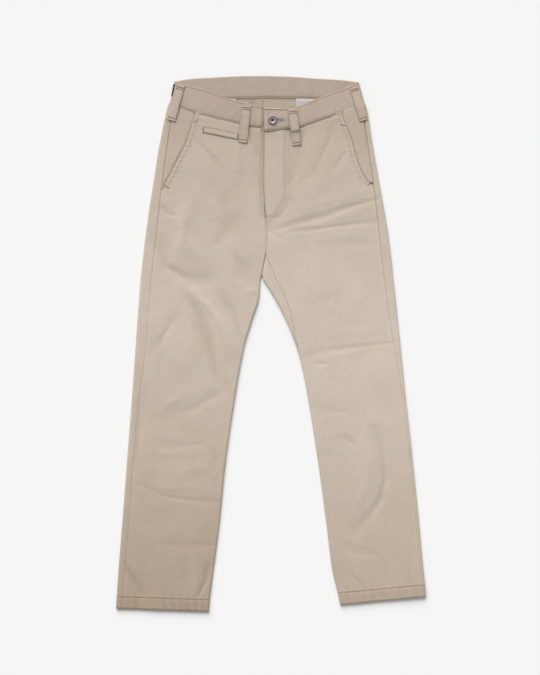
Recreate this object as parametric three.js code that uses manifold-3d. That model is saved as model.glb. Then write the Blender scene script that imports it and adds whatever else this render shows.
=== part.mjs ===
// Chino trousers laid flat on their back, front side up, with the button and the zip closed.
// Millimetres. X runs towards the wearer's left, Y from the hems to the waist, Z up.
// The origin is under the middle of the garment, on the surface that it lies on.

import * as THREE from 'three';
import Module from 'manifold-3d';
import { mergeVertices } from 'three/addons/utils/BufferGeometryUtils.js';

// Walls and layers
const CLOTH = 1.6;
const BAND_WALL = 2.6;
const HEM_WALL = 2.8;
const POCKETING = 0.8;
const FLAT_HEIGHT = 6.2;
const BAND_HEIGHT = 6.7;
const SEAM_GAP = 0.3;
const WAIST_GAP = 0.7;

// The waist lies on its loops and patch, so it is lifted off the surface by their thickness.
const WAIST_LIFT = 1.4;
const LIFT_STARTS = 396;
const LIFT_ENDS = 440;

// Levels of the hidden layers, from the underside of the garment
const SHIELD_LEVEL = 1.9;
const SHIELD_WALL = 1.2;
const ZIP_LEVEL = 3.4;
const ZIP_WALL = 0.9;
const BACK_BAG_LEVEL = 2.0;
const FACING_LEVEL = 3.1;
const FACING_WALL = 1.2;

// Fly: the left front laps over the right one
const FLY_BOTTOM = 246;
const FLY_UNDERLAP = 8;
const LAP_WIDTH = 42;
const LAP_RAISE = 1.9;
const LAP_RAMP = 14;
const LAP_FADE = 22;

// Waistband tab over the underlap
const TAB_RAISE = 2.9;
const TAB_FLAT_TO = 36;
const TAB_RAMP = 30;

// Small pieces
const LOOP_WIDTH = 18;
const LOOP_WALL = 1.4;
const LOOP_STAND_OFF = 0.8;
const LOOP_CLEARANCE = 0.6;
const BUTTON_RADIUS = 8.5;
const BUTTON_AT = { x: 3, y: 435.5 };
const SHANK_RADIUS = 2.2;
const BUTTONHOLE_LENGTH = 23;
const WATCH_WELT_DROP = 11;
const BACK_WELT = { width: 125, height: 11, x: 112, y: 396, turn: 4 };

// Mesh density
const ROWS_PER_STATION = 3;
const END_STEPS = 5;
const END_REACH = 12;
const FRONT_STEPS = 8;
const BACK_STEPS = 4;

// Stations down each leg, one row each: outer edge, inner edge, and how far in from the
// outer edge the side seam runs on the upper side. The first rows meet the centre seam.
const STATION_COLUMNS = ['outerX', 'outerY', 'innerX', 'innerY', 'sideSeam'];
const RIGHT_STATIONS = [
  [-196, 466, -13, 420, 8],
  [-215, 398, -13, 374, 15],
  [-228, 320, -14, 310, 17],
  [-240, 242, -10, 238, 20],
  [-249, 171, -11, 173, 21],
  [-254, 125, -20, 127, 21],
  [-257, 86, -24, 86, 21],
  [-260, 47, -37, 46, 21],
  [-264, -12, -54, -14, 20],
  [-271, -109, -71, -111, 15],
  [-280, -226, -88, -229, 12],
  [-289, -343, -100, -347, 13],
  [-297, -443, -113, -449, 12],
  [-300, -489, -119, -495, 12],
  [-302, -515, -121, -521, 12],
];
const LEFT_STATIONS = [
  [184, 461, -14, 413, 8],
  [197, 394, -13, 374, 9],
  [210, 320, -14, 310, 11],
  [224, 242, -10, 238, 16],
  [234, 171, -11, 173, 18],
  [238, 129, -16, 130, 17],
  [241, 105, -2, 105, 17],
  [245, 66, 20, 66, 16],
  [250, 17, 42, 16, 14],
  [255, -31, 58, -34, 10],
  [263, -109, 74, -115, 6],
  [276, -226, 93, -236, 5],
  [288, -343, 109, -356, 5],
  [295, -421, 119, -435, 5],
  [300, -467, 130, -483, 5],
  [302, -492, 135, -508, 5],
];
// The backs rise higher than the fronts, so their first two stations end further up.
const BACK_TOP = { right: [[-196, 466, -16, 478, 8], [-215, 398, -15, 402, 15]],
  left: [[184, 461, -16, 478, 8], [197, 394, -15, 402, 9]] };

// Centre seams, as y and x
const CENTRE_FRONT = [[133, -17.6], [172, -10.8], [196, -8.8], [232, -8.8], [264, -11.7],
  [320, -14.6], [415, -13], [457, -14.4]];
const CENTRE_BACK = [[133, -17.6], [172, -10.8], [196, -8.8], [238, -9.6], [310, -14], [403, -15], [479, -16]];
const CROTCH_Y = 173;
const FORK_Y = 133;
const CROTCH_CURL = 15;

// How far the left inseam runs in from the inner edge, on the upper side, as y and distance
const LEFT_INSEAM = [[-20, 0], [17, 5], [66, 16.5], [105, 23.5], [130, 25], [150, 15], [173, 0]];

// Waist seams of the fronts and the back, as x and y
const WAIST_SEAM = {
  right: [[-197, 466.5], [-174, 458], [-136, 445], [-95, 435], [-63, 428], [-41, 423], [-13, 420.5], [26, 420.5]],
  left: [[-14, 413], [2, 412.5], [26, 417], [56, 421], [88, 432], [115, 441], [138, 448], [169, 457], [184, 461]],
  back: [[-197, 466.5], [-161, 472], [-111, 475.5], [-41, 478], [30, 478], [92, 476.5], [141, 471.5], [184, 461]],
};

// Upper edges of the waistband, as x and y
const BAND_EDGE = {
  right: [[-188, 511], [-167, 504], [-126, 494], [-88, 479.5], [-58, 470.5], [-37, 465.5], [-15, 461], [26, 458]],
  left: [[-14, 459], [8, 458], [32, 458], [53, 462], [82, 474], [115, 487], [151, 500], [171, 510]],
  back: [[-188, 511], [-158, 516], [-109, 519], [-41, 522], [28, 521], [86, 517], [135, 514], [171, 510]],
};

// Edges of the slanted pocket mouths, as y and x, with y rising
const POCKET_EDGE = {
  right: [[302, -209], [314, -206], [328, -198], [359, -182], [390, -166], [412, -159], [435, -152], [450, -147]],
  left: [[308, 199], [321, 185], [342, 174], [370, 165], [393, 159], [409, 153], [428, 146], [450, 138]],
};
const FACING_TUCK = 22;

// Largest folds in the fronts: a ridge from one point to another, its half width and its height
const FOLD_COLUMNS = ['side', 'fromX', 'fromY', 'toX', 'toY', 'halfWidth', 'height'];
const FOLDS = [
  ['right', -142, 45, -110, -52, 16, 1.6],
  ['right', -96, 80, -64, -4, 14, 1.8],
  ['right', -147, 390, -97, 343, 14, 1.2],
  ['right', -214, -195, -142, -195, 13, 1.2],
  ['right', -190, -302, -102, -302, 15, 1.4],
  ['right', -124, -460, -150, -493, 9, 1.3],
  ['left', 38, 235, 203, 280, 15, 1.8],
  ['left', 68, 220, 193, 236, 12, 1.1],
  ['left', 82, -22, 218, -3, 14, 1.6],
  ['left', 118, 420, 82, 331, 15, 1.3],
  ['left', 218, -280, 160, -357, 17, 1.4],
];

const COLOURS = {
  twill: 0xc3af9a,
  pocketing: 0xe6e2dc,
  metal: 0x8d8f96,
  patch: 0x1d1c1e,
  zip: 0xb9a58c,
};
const twill = new THREE.MeshStandardMaterial({ color: COLOURS.twill, roughness: 0.92, metalness: 0 });
const pocketing = new THREE.MeshStandardMaterial({ color: COLOURS.pocketing, roughness: 0.95, metalness: 0 });
const metal = new THREE.MeshStandardMaterial({ color: COLOURS.metal, roughness: 0.42, metalness: 0.9 });
const patchHide = new THREE.MeshStandardMaterial({ color: COLOURS.patch, roughness: 0.6, metalness: 0 });
const zipCloth = new THREE.MeshStandardMaterial({ color: COLOURS.zip, roughness: 0.85, metalness: 0 });

// Gives each table row its column names.
function named(columns, rows) {
  return rows.map((row) => Object.fromEntries(columns.map((column, i) => [column, row[i]])));
}

function clamp01(value) {
  return Math.min(Math.max(value, 0), 1);
}

function smooth(from, to, value) {
  const share = clamp01((value - from) / (to - from));
  return share * share * (3 - 2 * share);
}

function mix(a, b, share) {
  return a + (b - a) * share;
}

// A smooth curve through a table of [place, value] pairs whose places rise; level past its ends.
function along(table, place) {
  const last = table.length - 1;
  if (place <= table[0][0]) return table[0][1];
  if (place >= table[last][0]) return table[last][1];
  let i = 0;
  while (place > table[i + 1][0]) i += 1;
  const slope = (k) => {
    const a = table[Math.max(k - 1, 0)];
    const b = table[Math.min(k + 1, last)];
    return (b[1] - a[1]) / (b[0] - a[0]);
  };
  const span = table[i + 1][0] - table[i][0];
  const t = (place - table[i][0]) / span;
  const start = (1 + 2 * t) * (1 - t) ** 2;
  const startSlope = t * (1 - t) ** 2 * span;
  const endSlope = -t * t * (1 - t) * span;
  return start * table[i][1] + (1 - start) * table[i + 1][1] + startSlope * slope(i) + endSlope * slope(i + 1);
}

// Stations worked out at every mesh row, with the centre seam taken from its own curve.
function legRows(stations, centreSeam, side) {
  const columns = STATION_COLUMNS.map((name) => stations.map((row, i) => [i, row[name]]));
  const count = (stations.length - 1) * ROWS_PER_STATION;
  const hemTop = stations.length - 2;
  const rows = [];
  for (let k = 0; k <= count; k += 1) {
    const place = k / ROWS_PER_STATION;
    const row = Object.fromEntries(STATION_COLUMNS.map((name, c) => [name, along(columns[c], place)]));
    const sign = side === 'right' ? -1 : 1;
    if (row.innerY > FORK_Y) row.innerX = along(centreSeam, row.innerY) + sign * SEAM_GAP / 2;
    row.place = place;
    row.hem = place > hemTop + 0.01;
    rows.push(row);
  }
  return rows;
}

function waistLift(y) {
  return WAIST_LIFT * clamp01((y - LIFT_STARTS) / (LIFT_ENDS - LIFT_STARTS));
}

// Height that the folds add to a front at a point.
function foldHeight(side, x, y) {
  let height = 0;
  for (const fold of named(FOLD_COLUMNS, FOLDS)) {
    if (fold.side !== side) continue;
    const runX = fold.toX - fold.fromX;
    const runY = fold.toY - fold.fromY;
    const length = Math.hypot(runX, runY);
    const share = ((x - fold.fromX) * runX + (y - fold.fromY) * runY) / length ** 2;
    const off = ((x - fold.fromX) * runY - (y - fold.fromY) * runX) / length;
    const beyond = (Math.max(-share, share - 1, 0) * length) / fold.halfWidth;
    const fade = Math.exp(-(beyond ** 2));
    const taper = Math.sin(Math.PI * clamp01(0.15 + 0.7 * share));
    height += fold.height * Math.exp(-((off / fold.halfWidth) ** 2)) * fade * taper;
  }
  return height;
}

// Height that the fly lap adds to the left front over the zip and the shield.
function lapRaise(x, y) {
  const edge = along(CENTRE_FRONT, y);
  const acrossLap = 1 - smooth(edge + LAP_WIDTH, edge + LAP_WIDTH + LAP_RAMP, x);
  return LAP_RAISE * acrossLap * smooth(FLY_BOTTOM - LAP_FADE, FLY_BOTTOM, y);
}

function tabRaise(x) {
  return TAB_RAISE * (1 - smooth(TAB_FLAT_TO, TAB_FLAT_TO + TAB_RAMP, x));
}

// Upper side of a front before its folds.
function frontLevel(side, x, y) {
  const lap = side === 'left' ? lapRaise(x, y) : 0;
  return FLAT_HEIGHT + waistLift(y) + lap;
}

function frontTop(side, x, y) {
  return frontLevel(side, x, y) + foldHeight(side, x, y);
}

function bandTop(side, x, y) {
  const tab = side === 'left' ? tabRaise(x) : 0;
  return BAND_HEIGHT + waistLift(y) + tab;
}

// A closed wall from a grid of point pairs, outer and inner, joined round its four edges.
function wallGeometry(grid) {
  const rows = grid.length;
  const columns = grid[0].length;
  const positions = [];
  for (const layer of ['outer', 'inner']) {
    for (const row of grid) for (const pair of row) positions.push(...pair[layer]);
  }
  const id = (layer, j, i) => layer * rows * columns + j * columns + i;
  const faces = [];
  const quad = (a, b, c, d) => faces.push(a, b, c, a, c, d);
  for (let j = 0; j < rows - 1; j += 1) {
    for (let i = 0; i < columns - 1; i += 1) {
      quad(id(0, j, i), id(0, j, i + 1), id(0, j + 1, i + 1), id(0, j + 1, i));
      quad(id(1, j, i), id(1, j + 1, i), id(1, j + 1, i + 1), id(1, j, i + 1));
    }
    const right = columns - 1;
    quad(id(0, j, 0), id(0, j + 1, 0), id(1, j + 1, 0), id(1, j, 0));
    quad(id(0, j, right), id(1, j, right), id(1, j + 1, right), id(0, j + 1, right));
  }
  for (let i = 0; i < columns - 1; i += 1) {
    const end = rows - 1;
    quad(id(0, 0, i), id(1, 0, i), id(1, 0, i + 1), id(0, 0, i + 1));
    quad(id(0, end, i), id(0, end, i + 1), id(1, end, i + 1), id(1, end, i));
  }
  if (enclosedVolume(positions, faces) < 0) faces.reverse();
  const geometry = new THREE.BufferGeometry();
  geometry.setAttribute('position', new THREE.Float32BufferAttribute(positions, 3));
  geometry.setIndex(faces);
  geometry.computeVertexNormals();
  return geometry;
}

function enclosedVolume(positions, faces) {
  const corner = (n) => new THREE.Vector3().fromArray(positions, 3 * n);
  let volume = 0;
  for (let k = 0; k < faces.length; k += 3) {
    const [a, b, c] = [corner(faces[k]), corner(faces[k + 1]), corner(faces[k + 2])];
    volume += a.dot(b.cross(c)) / 6;
  }
  return volume;
}

// The end of a row across a panel: a straight run, a turn round the folded edge, and a lip
// that comes back on the other side. It gives [distance, rise, angle] for each mesh step.
function endPath({ run, radius, curl, lip }) {
  const arc = radius * curl;
  const total = run + arc + lip;
  let marks;
  if (curl < 0.05) {
    marks = (k) => (run * k) / END_STEPS;
  } else if (lip > 1) {
    const stops = [0, run, run + arc / 3, run + (2 * arc) / 3, run + arc, total];
    marks = (k) => stops[k];
  } else {
    const stops = [0, run, run + arc / 4, run + arc / 2, run + (3 * arc) / 4, total];
    marks = (k) => stops[k];
  }
  const path = [];
  for (let k = 0; k <= END_STEPS; k += 1) {
    const w = marks(k);
    const angle = curl < 0.05 ? 0 : Math.min(Math.max((w - run) / radius, 0), curl);
    const over = Math.max(w - run - arc, 0);
    const flat = Math.min(w, run);
    path.push([
      flat + radius * Math.sin(angle) + over * Math.cos(curl),
      radius * (1 - Math.cos(angle)) + over * Math.sin(curl),
      angle,
    ]);
  }
  return path;
}

// Point pairs across one row. The plan gives x and y at a distance from the row's outer end,
// level(x, y) is the height of the outer face, and up is 1 where its ends turn up.
function acrossRow({ plan, upperPlan = plan, length, level, up, wall, outerEnd, innerEnd, steps, ridge = () => 0 }) {
  const pairs = [];
  const add = (s, rise, tilt) => {
    const at = Math.abs(tilt) > Math.PI / 2 + 0.1 ? upperPlan(s) : plan(s);
    const z = level(at.x, at.y) + up * rise;
    const normal = [Math.sin(tilt) * at.dx, Math.sin(tilt) * at.dy, -up * Math.cos(tilt)];
    const lift = ridge(at.x, at.y);
    const outer = [at.x, at.y, z + lift];
    const base = [at.x, at.y, z + lift * 0.4];
    pairs.push({ outer, inner: base.map((value, axis) => value - normal[axis] * wall) });
  };
  const outerPath = endPath(outerEnd).reverse();
  const innerPath = endPath(innerEnd);
  for (const [distance, rise, angle] of outerPath) add(outerEnd.start - distance, rise, -angle);
  const from = outerEnd.start;
  const to = length - innerEnd.start;
  for (let k = 1; k < steps; k += 1) add(mix(from, to, k / steps), 0, 0);
  for (const [distance, rise, angle] of innerPath) add(to + distance, rise, angle);
  return pairs;
}

function folded(radius, overhang) {
  const curl = overhang < radius ? Math.PI - Math.asin(1 - overhang / radius) : Math.PI;
  return { start: END_REACH, run: END_REACH - radius, radius, curl, lip: Math.max(overhang - radius, 0) };
}

function turnedIn(radius, angle) {
  return { start: END_REACH, run: END_REACH - radius, radius, curl: angle, lip: 0 };
}

function cutEnd(radius, inset) {
  return { start: inset + END_REACH, run: END_REACH, radius, curl: 0, lip: 0 };
}

// A straight row from the outer to the inner edge, bent to the waist seam at the top.
function straightPlan(row, seam, bend) {
  const dx = row.innerX - row.outerX;
  const dy = row.innerY - row.outerY;
  const length = Math.hypot(dx, dy);
  const plan = (s) => {
    const x = row.outerX + (dx * s) / length;
    const y = row.outerY + (dy * s) / length;
    const shift = bend > 0 ? bend * (along(seam, x) - WAIST_GAP / 2 - y) : 0;
    return { x, y: y + shift, dx: dx / length, dy: dy / length };
  };
  return { plan, length };
}

// How much a row follows the waist seam: wholly at the top, not at all past the first station.
function seamBend(place) {
  return (1 - clamp01(place)) ** 2;
}

const RADIUS = FLAT_HEIGHT / 2;
const stationsOf = {
  right: named(STATION_COLUMNS, RIGHT_STATIONS),
  left: named(STATION_COLUMNS, LEFT_STATIONS),
};

function frontRows(side) {
  return legRows(stationsOf[side], CENTRE_FRONT, side);
}

function backRows(side) {
  const tops = named(STATION_COLUMNS, BACK_TOP[side]);
  return legRows([...tops, ...stationsOf[side].slice(tops.length)], CENTRE_BACK, side);
}

// Where a row of the front crosses the edge of the slanted pocket.
function pocketInset(side, plan) {
  const edge = POCKET_EDGE[side];
  let s = 0;
  for (let tries = 0; tries < 8; tries += 1) {
    const at = plan(s);
    if (at.y < edge[0][0]) return 0;
    s += (along(edge, at.y) - at.x) / at.dx;
  }
  return s;
}

function frontPanel(side) {
  const grid = frontRows(side).map((row) => {
    const { plan, length } = straightPlan(row, WAIST_SEAM[side], seamBend(row.place));
    const inset = Math.max(row.sideSeam + SEAM_GAP / 2, pocketInset(side, plan));
    return acrossRow({
      plan,
      length,
      level: (x, y) => frontLevel(side, x, y),
      up: -1,
      wall: row.hem ? HEM_WALL : CLOTH,
      outerEnd: cutEnd(RADIUS, inset),
      innerEnd: side === 'right' ? rightFrontInner(row) : leftFrontInner(row),
      steps: FRONT_STEPS,
      ridge: (x, y) => foldHeight(side, x, y),
    });
  });
  return wallGeometry(grid);
}

// The right front runs on under the fly lap, and turns round the inner edge of the leg.
function rightFrontInner(row) {
  const underlap = FLY_UNDERLAP * smooth(FLY_BOTTOM + LAP_FADE, FLY_BOTTOM + 2 * LAP_FADE, row.innerY);
  if (row.innerY > CROTCH_Y - 1) return cutEnd(RADIUS, -underlap);
  return turnedIn(RADIUS, Math.PI / 2 - SEAM_GAP / RADIUS);
}

// The left front stops at the inseam, which runs on the upper side below the crotch.
function leftFrontInner(row) {
  if (row.innerY > CROTCH_Y + 1) return cutEnd(RADIUS, 0);
  const overhang = along(LEFT_INSEAM, row.innerY);
  if (overhang > 0.4) return cutEnd(RADIUS, Math.max(overhang, RADIUS + SEAM_GAP) + SEAM_GAP / 2);
  if (row.innerY > 0) return cutEnd(RADIUS, RADIUS + 2 * SEAM_GAP);
  return turnedIn(RADIUS, Math.PI / 2 - SEAM_GAP / RADIUS);
}

function backPanel(side) {
  const grid = backRows(side).map((row) => {
    const { plan, length } = straightPlan(row, WAIST_SEAM.back, seamBend(row.place));
    return acrossRow({
      plan,
      upperPlan: straightPlan(row, WAIST_SEAM[side], seamBend(row.place)).plan,
      length,
      level: (x, y) => waistLift(y),
      up: 1,
      wall: row.hem ? HEM_WALL : CLOTH,
      outerEnd: folded(RADIUS, row.sideSeam - SEAM_GAP / 2),
      innerEnd: backInner(side, row),
      steps: BACK_STEPS,
    });
  });
  return wallGeometry(grid);
}

// The back ends flat at the centre seam, and turns up round the inner edge of the leg.
function backInner(side, row) {
  const y = row.innerY;
  if (y > CROTCH_Y + CROTCH_CURL) return cutEnd(RADIUS, 0);
  if (y > CROTCH_Y) {
    const curl = (Math.PI / 2) * clamp01((CROTCH_Y + CROTCH_CURL - y) / CROTCH_CURL);
    return { start: END_REACH, run: END_REACH - RADIUS * Math.sin(curl), radius: RADIUS, curl, lip: 0 };
  }
  if (side === 'right') return turnedIn(RADIUS, Math.PI / 2);
  const overhang = along(LEFT_INSEAM, y);
  if (overhang > RADIUS) return folded(RADIUS, overhang - SEAM_GAP / 2);
  return turnedIn(RADIUS, Math.PI / 2);
}

// A loose sheet between two upright edges, its rows running from the top down. The edges give
// x at a height y, trim moves a point's y, and level gives the height of its under face.
function sheetGeometry({ top, bottom, left, right, level, wall, rows, columns, trim = (x, y) => y }) {
  const grid = [];
  for (let j = 0; j <= rows; j += 1) {
    const rowY = mix(top, bottom, j / rows);
    const pairs = [];
    for (let i = 0; i <= columns; i += 1) {
      const x = mix(left(rowY), right(rowY), i / columns);
      const y = trim(x, rowY, j / rows);
      const z = level(x, y);
      const thick = typeof wall === 'number' ? wall : wall(x, y);
      pairs.push({ outer: [x, y, z + thick], inner: [x, y, z] });
    }
    grid.push(pairs);
  }
  return wallGeometry(grid);
}

// The facing fills the pocket mouth from the side seam and dips under the front's edge.
function pocketFacing(side) {
  const sign = side === 'right' ? 1 : -1;
  const seamLine = backRows(side).map((row) => {
    const { plan } = straightPlan(row, WAIST_SEAM.back, 0);
    const at = plan(row.sideSeam + SEAM_GAP);
    return [at.y, at.x];
  }).reverse();
  const edge = POCKET_EDGE[side];
  const start = (y) => along(seamLine, y) + sign * 6 * SEAM_GAP;
  const end = (y) => along(edge, y) + sign * FACING_TUCK;
  const topY = 456;
  const bottomY = side === 'right' ? 312 : 322;
  return sheetGeometry({
    top: topY,
    bottom: bottomY,
    left: start,
    right: end,
    rows: 8,
    columns: 8,
    wall: FACING_WALL,
    level: (x, y) => {
      const open = Math.abs(along(edge, y) - start(y));
      const share = Math.abs(x - start(y)) / Math.max(open - 4, 1);
      const high = FLAT_HEIGHT - FACING_WALL;
      return mix(high, FACING_LEVEL, smooth(0.15, 0.95, share)) + waistLift(y);
    },
    trim: (x, y, share) => y + (1 - share) ** 2 * (along(WAIST_SEAM[side], x) - SEAM_GAP - topY),
  });
}

// Front pocket bag: it hangs inside the front from beyond the facing.
function frontPocketBag(side) {
  const sign = side === 'right' ? 1 : -1;
  const edge = POCKET_EDGE[side];
  const bottomY = 232;
  const outerSide = (y) => along(edge, y) + sign * (FACING_TUCK + 8);
  const innerSide = (y) => sign * -84 - sign * 14 * (1 - smooth(bottomY, bottomY + 40, y));
  return sheetGeometry({
    top: 418,
    bottom: bottomY,
    left: outerSide,
    right: innerSide,
    rows: 8,
    columns: 3,
    wall: POCKETING,
    level: (x, y) => FACING_LEVEL + waistLift(y),
  });
}

// Back pocket bag: it hangs inside the back from the waist seam, and shows in the waist opening.
function backPocketBag(side) {
  const sign = side === 'right' ? -1 : 1;
  const near = side === 'right' ? 68 : 49;
  const far = 176;
  const topY = 474;
  return sheetGeometry({
    top: topY,
    bottom: 296,
    left: (y) => sign * (near + 12 * (1 - smooth(296, 330, y))),
    right: (y) => sign * (far - 12 * (1 - smooth(296, 330, y))),
    rows: 14,
    columns: 4,
    wall: POCKETING,
    level: (x, y) => BACK_BAG_LEVEL + waistLift(y),
    trim: (x, y, share) => y + (1 - share) ** 4 * (along(WAIST_SEAM.back, x) - SEAM_GAP - topY),
  });
}

// One stretch of waistband: its rows run along its length, from its upper edge to the waist seam.
function waistband({ name, edge, seam, up, level, firstEnd, lastEnd, steps }) {
  const rows = 3;
  const points = edge.map(([x, y], i) => {
    const lower = seam[i];
    return { upper: new THREE.Vector2(x, y), lower: new THREE.Vector2(lower[0], lower[1] + WAIST_GAP / 2) };
  });
  const grid = [];
  for (let j = 0; j <= rows; j += 1) {
    const curve = new THREE.SplineCurve(points.map(({ upper, lower }) => upper.clone().lerp(lower, j / rows)));
    const length = curve.getLength();
    const plan = (s) => {
      const share = clamp01(s / length);
      const at = curve.getPointAt(share);
      const run = curve.getTangentAt(share);
      const past = s - share * length;
      return { x: at.x + past * run.x, y: at.y + past * run.y, dx: run.x, dy: run.y };
    };
    grid.push(acrossRow({ plan, length, level, up, wall: BAND_WALL, outerEnd: firstEnd, innerEnd: lastEnd, steps }));
  }
  const mesh = new THREE.Mesh(wallGeometry(grid), twill);
  mesh.name = name;
  return mesh;
}

// Points of a waist seam under each point of the band's upper edge.
function seamUnder(edge, seam) {
  const first = edge[0][0];
  const last = edge[edge.length - 1][0];
  const from = seam[0][0];
  const to = seam[seam.length - 1][0];
  return edge.map(([x]) => {
    const under = mix(from, to, (x - first) / (last - first));
    return [under, along(seam, under)];
  });
}

// A belt loop: a strip that stands off what it crosses, sewn down at both ends.
function beltLoop(side, from, to) {
  const rows = 10;
  const run = new THREE.Vector2(to.x - from.x, to.y - from.y);
  const across = new THREE.Vector2(run.y, -run.x).normalize();
  const seam = WAIST_SEAM[side];
  const surface = (x, y) => (y > along(seam, x) ? bandTop(side, x, y) : frontTop(side, x, y));
  const near = [-6, 0, 6];
  const highest = (x, y) => Math.max(...near.map((step) => surface(x, y + step)));
  const grid = [];
  for (let j = 0; j <= rows; j += 1) {
    const share = j / rows;
    const pairs = [-1, 0, 1].map((edge) => {
      const x = from.x + run.x * share + (across.x * edge * LOOP_WIDTH) / 2;
      const y = from.y + run.y * share + (across.y * edge * LOOP_WIDTH) / 2;
      const stand = LOOP_STAND_OFF * Math.sin(Math.PI * share);
      const z = highest(x, y) + LOOP_CLEARANCE + stand;
      return { outer: [x, y, z + LOOP_WALL], inner: [x, y, z] };
    });
    grid.push(pairs);
  }
  return wallGeometry(grid);
}

// The small welt of the watch pocket lies on the right front, made from the front's own height.
function watchPocketWelt() {
  const mouth = { fromX: -131, fromY: 421.8, toX: -64, toY: 408 };
  return sheetGeometry({
    top: 0,
    bottom: -WATCH_WELT_DROP,
    left: () => mouth.fromX,
    right: () => mouth.toX,
    rows: 2,
    columns: 8,
    wall: 1,
    trim: (x, drop) => mix(mouth.fromY, mouth.toY, (x - mouth.fromX) / (mouth.toX - mouth.fromX)) + drop,
    level: (x, y) => frontTop('right', x, y) + 2 * SEAM_GAP,
  });
}

const wasm = await Module();
wasm.setup();

function toSolid(geometry) {
  let plain = geometry.clone();
  plain.deleteAttribute('normal');
  plain.deleteAttribute('uv');
  plain = mergeVertices(plain, 1e-4);
  return new wasm.Manifold(new wasm.Mesh({
    numProp: 3,
    vertProperties: new Float32Array(plain.attributes.position.array),
    triVerts: new Uint32Array(plain.index.array),
  }));
}

function fromSolid(solid) {
  const mesh = solid.getMesh();
  const geometry = new THREE.BufferGeometry();
  geometry.setAttribute('position', new THREE.Float32BufferAttribute(mesh.vertProperties, 3));
  geometry.setIndex(Array.from(mesh.triVerts));
  geometry.computeVertexNormals();
  return geometry;
}

function cutFrom(geometry, ...cutters) {
  let solid = toSolid(geometry);
  for (const cutter of cutters) solid = solid.subtract(toSolid(cutter));
  return fromSolid(solid);
}

// A back pocket welt fills the slit that is cut through the back for it.
function backWelt(side, margin) {
  const sign = side === 'right' ? -1 : 1;
  const depth = margin > 0 ? 6 * CLOTH : CLOTH;
  const box = new THREE.BoxGeometry(BACK_WELT.width + 2 * margin, BACK_WELT.height + 2 * margin, depth);
  box.rotateZ(-sign * THREE.MathUtils.degToRad(BACK_WELT.turn));
  box.translate(sign * BACK_WELT.x + along(CENTRE_BACK, BACK_WELT.y), BACK_WELT.y, margin > 0 ? -CLOTH : CLOTH / 2);
  return box;
}

// Keyhole cut through the waistband tab for the button's shank.
function buttonholeCutters(level) {
  const eye = new THREE.CylinderGeometry(SHANK_RADIUS + 0.5, SHANK_RADIUS + 0.5, 12, 20);
  eye.rotateX(Math.PI / 2);
  eye.translate(BUTTON_AT.x, BUTTON_AT.y, level);
  const slit = new THREE.BoxGeometry(BUTTONHOLE_LENGTH, 1.2, 12);
  slit.translate(BUTTON_AT.x + BUTTONHOLE_LENGTH / 2, BUTTON_AT.y, level);
  return [eye, slit];
}

// Tack button: a dished cap on a shank that stands on the underlap.
function tackButton() {
  const shankFoot = BAND_HEIGHT + WAIST_LIFT + SEAM_GAP;
  const capFoot = BAND_HEIGHT + TAB_RAISE + WAIST_LIFT + SEAM_GAP;
  const rim = capFoot + 2.6;
  const profile = [
    [0, shankFoot], [SHANK_RADIUS, shankFoot], [SHANK_RADIUS, capFoot], [BUTTON_RADIUS - 1, capFoot],
    [BUTTON_RADIUS, capFoot + 0.8], [BUTTON_RADIUS, rim - 0.8], [BUTTON_RADIUS - 0.9, rim],
    [BUTTON_RADIUS - 2.4, rim], [BUTTON_RADIUS - 3.4, rim - 1.1], [2.4, rim - 1.3], [1.8, rim - 0.7], [0, rim - 0.6],
  ].map(([r, z]) => new THREE.Vector2(r, z));
  const geometry = new THREE.LatheGeometry(profile, 24);
  geometry.rotateX(Math.PI / 2);
  geometry.translate(BUTTON_AT.x, BUTTON_AT.y, 0);
  return geometry;
}

const trousers = new THREE.Group();
trousers.name = 'chino_trousers';

function addPiece(name, geometry, material) {
  const mesh = new THREE.Mesh(geometry, material);
  mesh.name = name;
  trousers.add(mesh);
}

for (const side of ['right', 'left']) {
  addPiece(`front_${side}`, frontPanel(side), twill);
  addPiece(`back_${side}`, cutFrom(backPanel(side), backWelt(side, SEAM_GAP)), twill);
  addPiece(`back_pocket_welt_${side}`, backWelt(side, 0), twill);
  addPiece(`pocket_facing_${side}`, pocketFacing(side), twill);
  addPiece(`front_pocket_bag_${side}`, frontPocketBag(side), pocketing);
  addPiece(`back_pocket_bag_${side}`, backPocketBag(side), pocketing);
}
addPiece('watch_pocket_welt', watchPocketWelt(), twill);

const BAND_RADIUS = BAND_HEIGHT / 2;
const bandFold = turnedIn(BAND_RADIUS, Math.PI / 2 - SEAM_GAP / BAND_RADIUS / 2);
const bandEnd = cutEnd(BAND_RADIUS, 0);
trousers.add(waistband({
  name: 'waistband_front_right',
  edge: BAND_EDGE.right,
  seam: seamUnder(BAND_EDGE.right, WAIST_SEAM.right),
  up: -1,
  level: (x, y) => bandTop('right', x, y),
  firstEnd: bandFold,
  lastEnd: bandEnd,
  steps: 14,
}));
const leftBand = waistband({
  name: 'waistband_front_left',
  edge: BAND_EDGE.left,
  seam: seamUnder(BAND_EDGE.left, WAIST_SEAM.left),
  up: -1,
  level: (x, y) => bandTop('left', x, y),
  firstEnd: bandEnd,
  lastEnd: bandFold,
  steps: 16,
});
leftBand.geometry = cutFrom(leftBand.geometry, ...buttonholeCutters(BAND_HEIGHT + TAB_RAISE));
trousers.add(leftBand);
trousers.add(waistband({
  name: 'waistband_back',
  edge: BAND_EDGE.back,
  seam: seamUnder(BAND_EDGE.back, WAIST_SEAM.back),
  up: 1,
  level: (x, y) => waistLift(y),
  firstEnd: bandFold,
  lastEnd: bandFold,
  steps: 16,
}));

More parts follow.
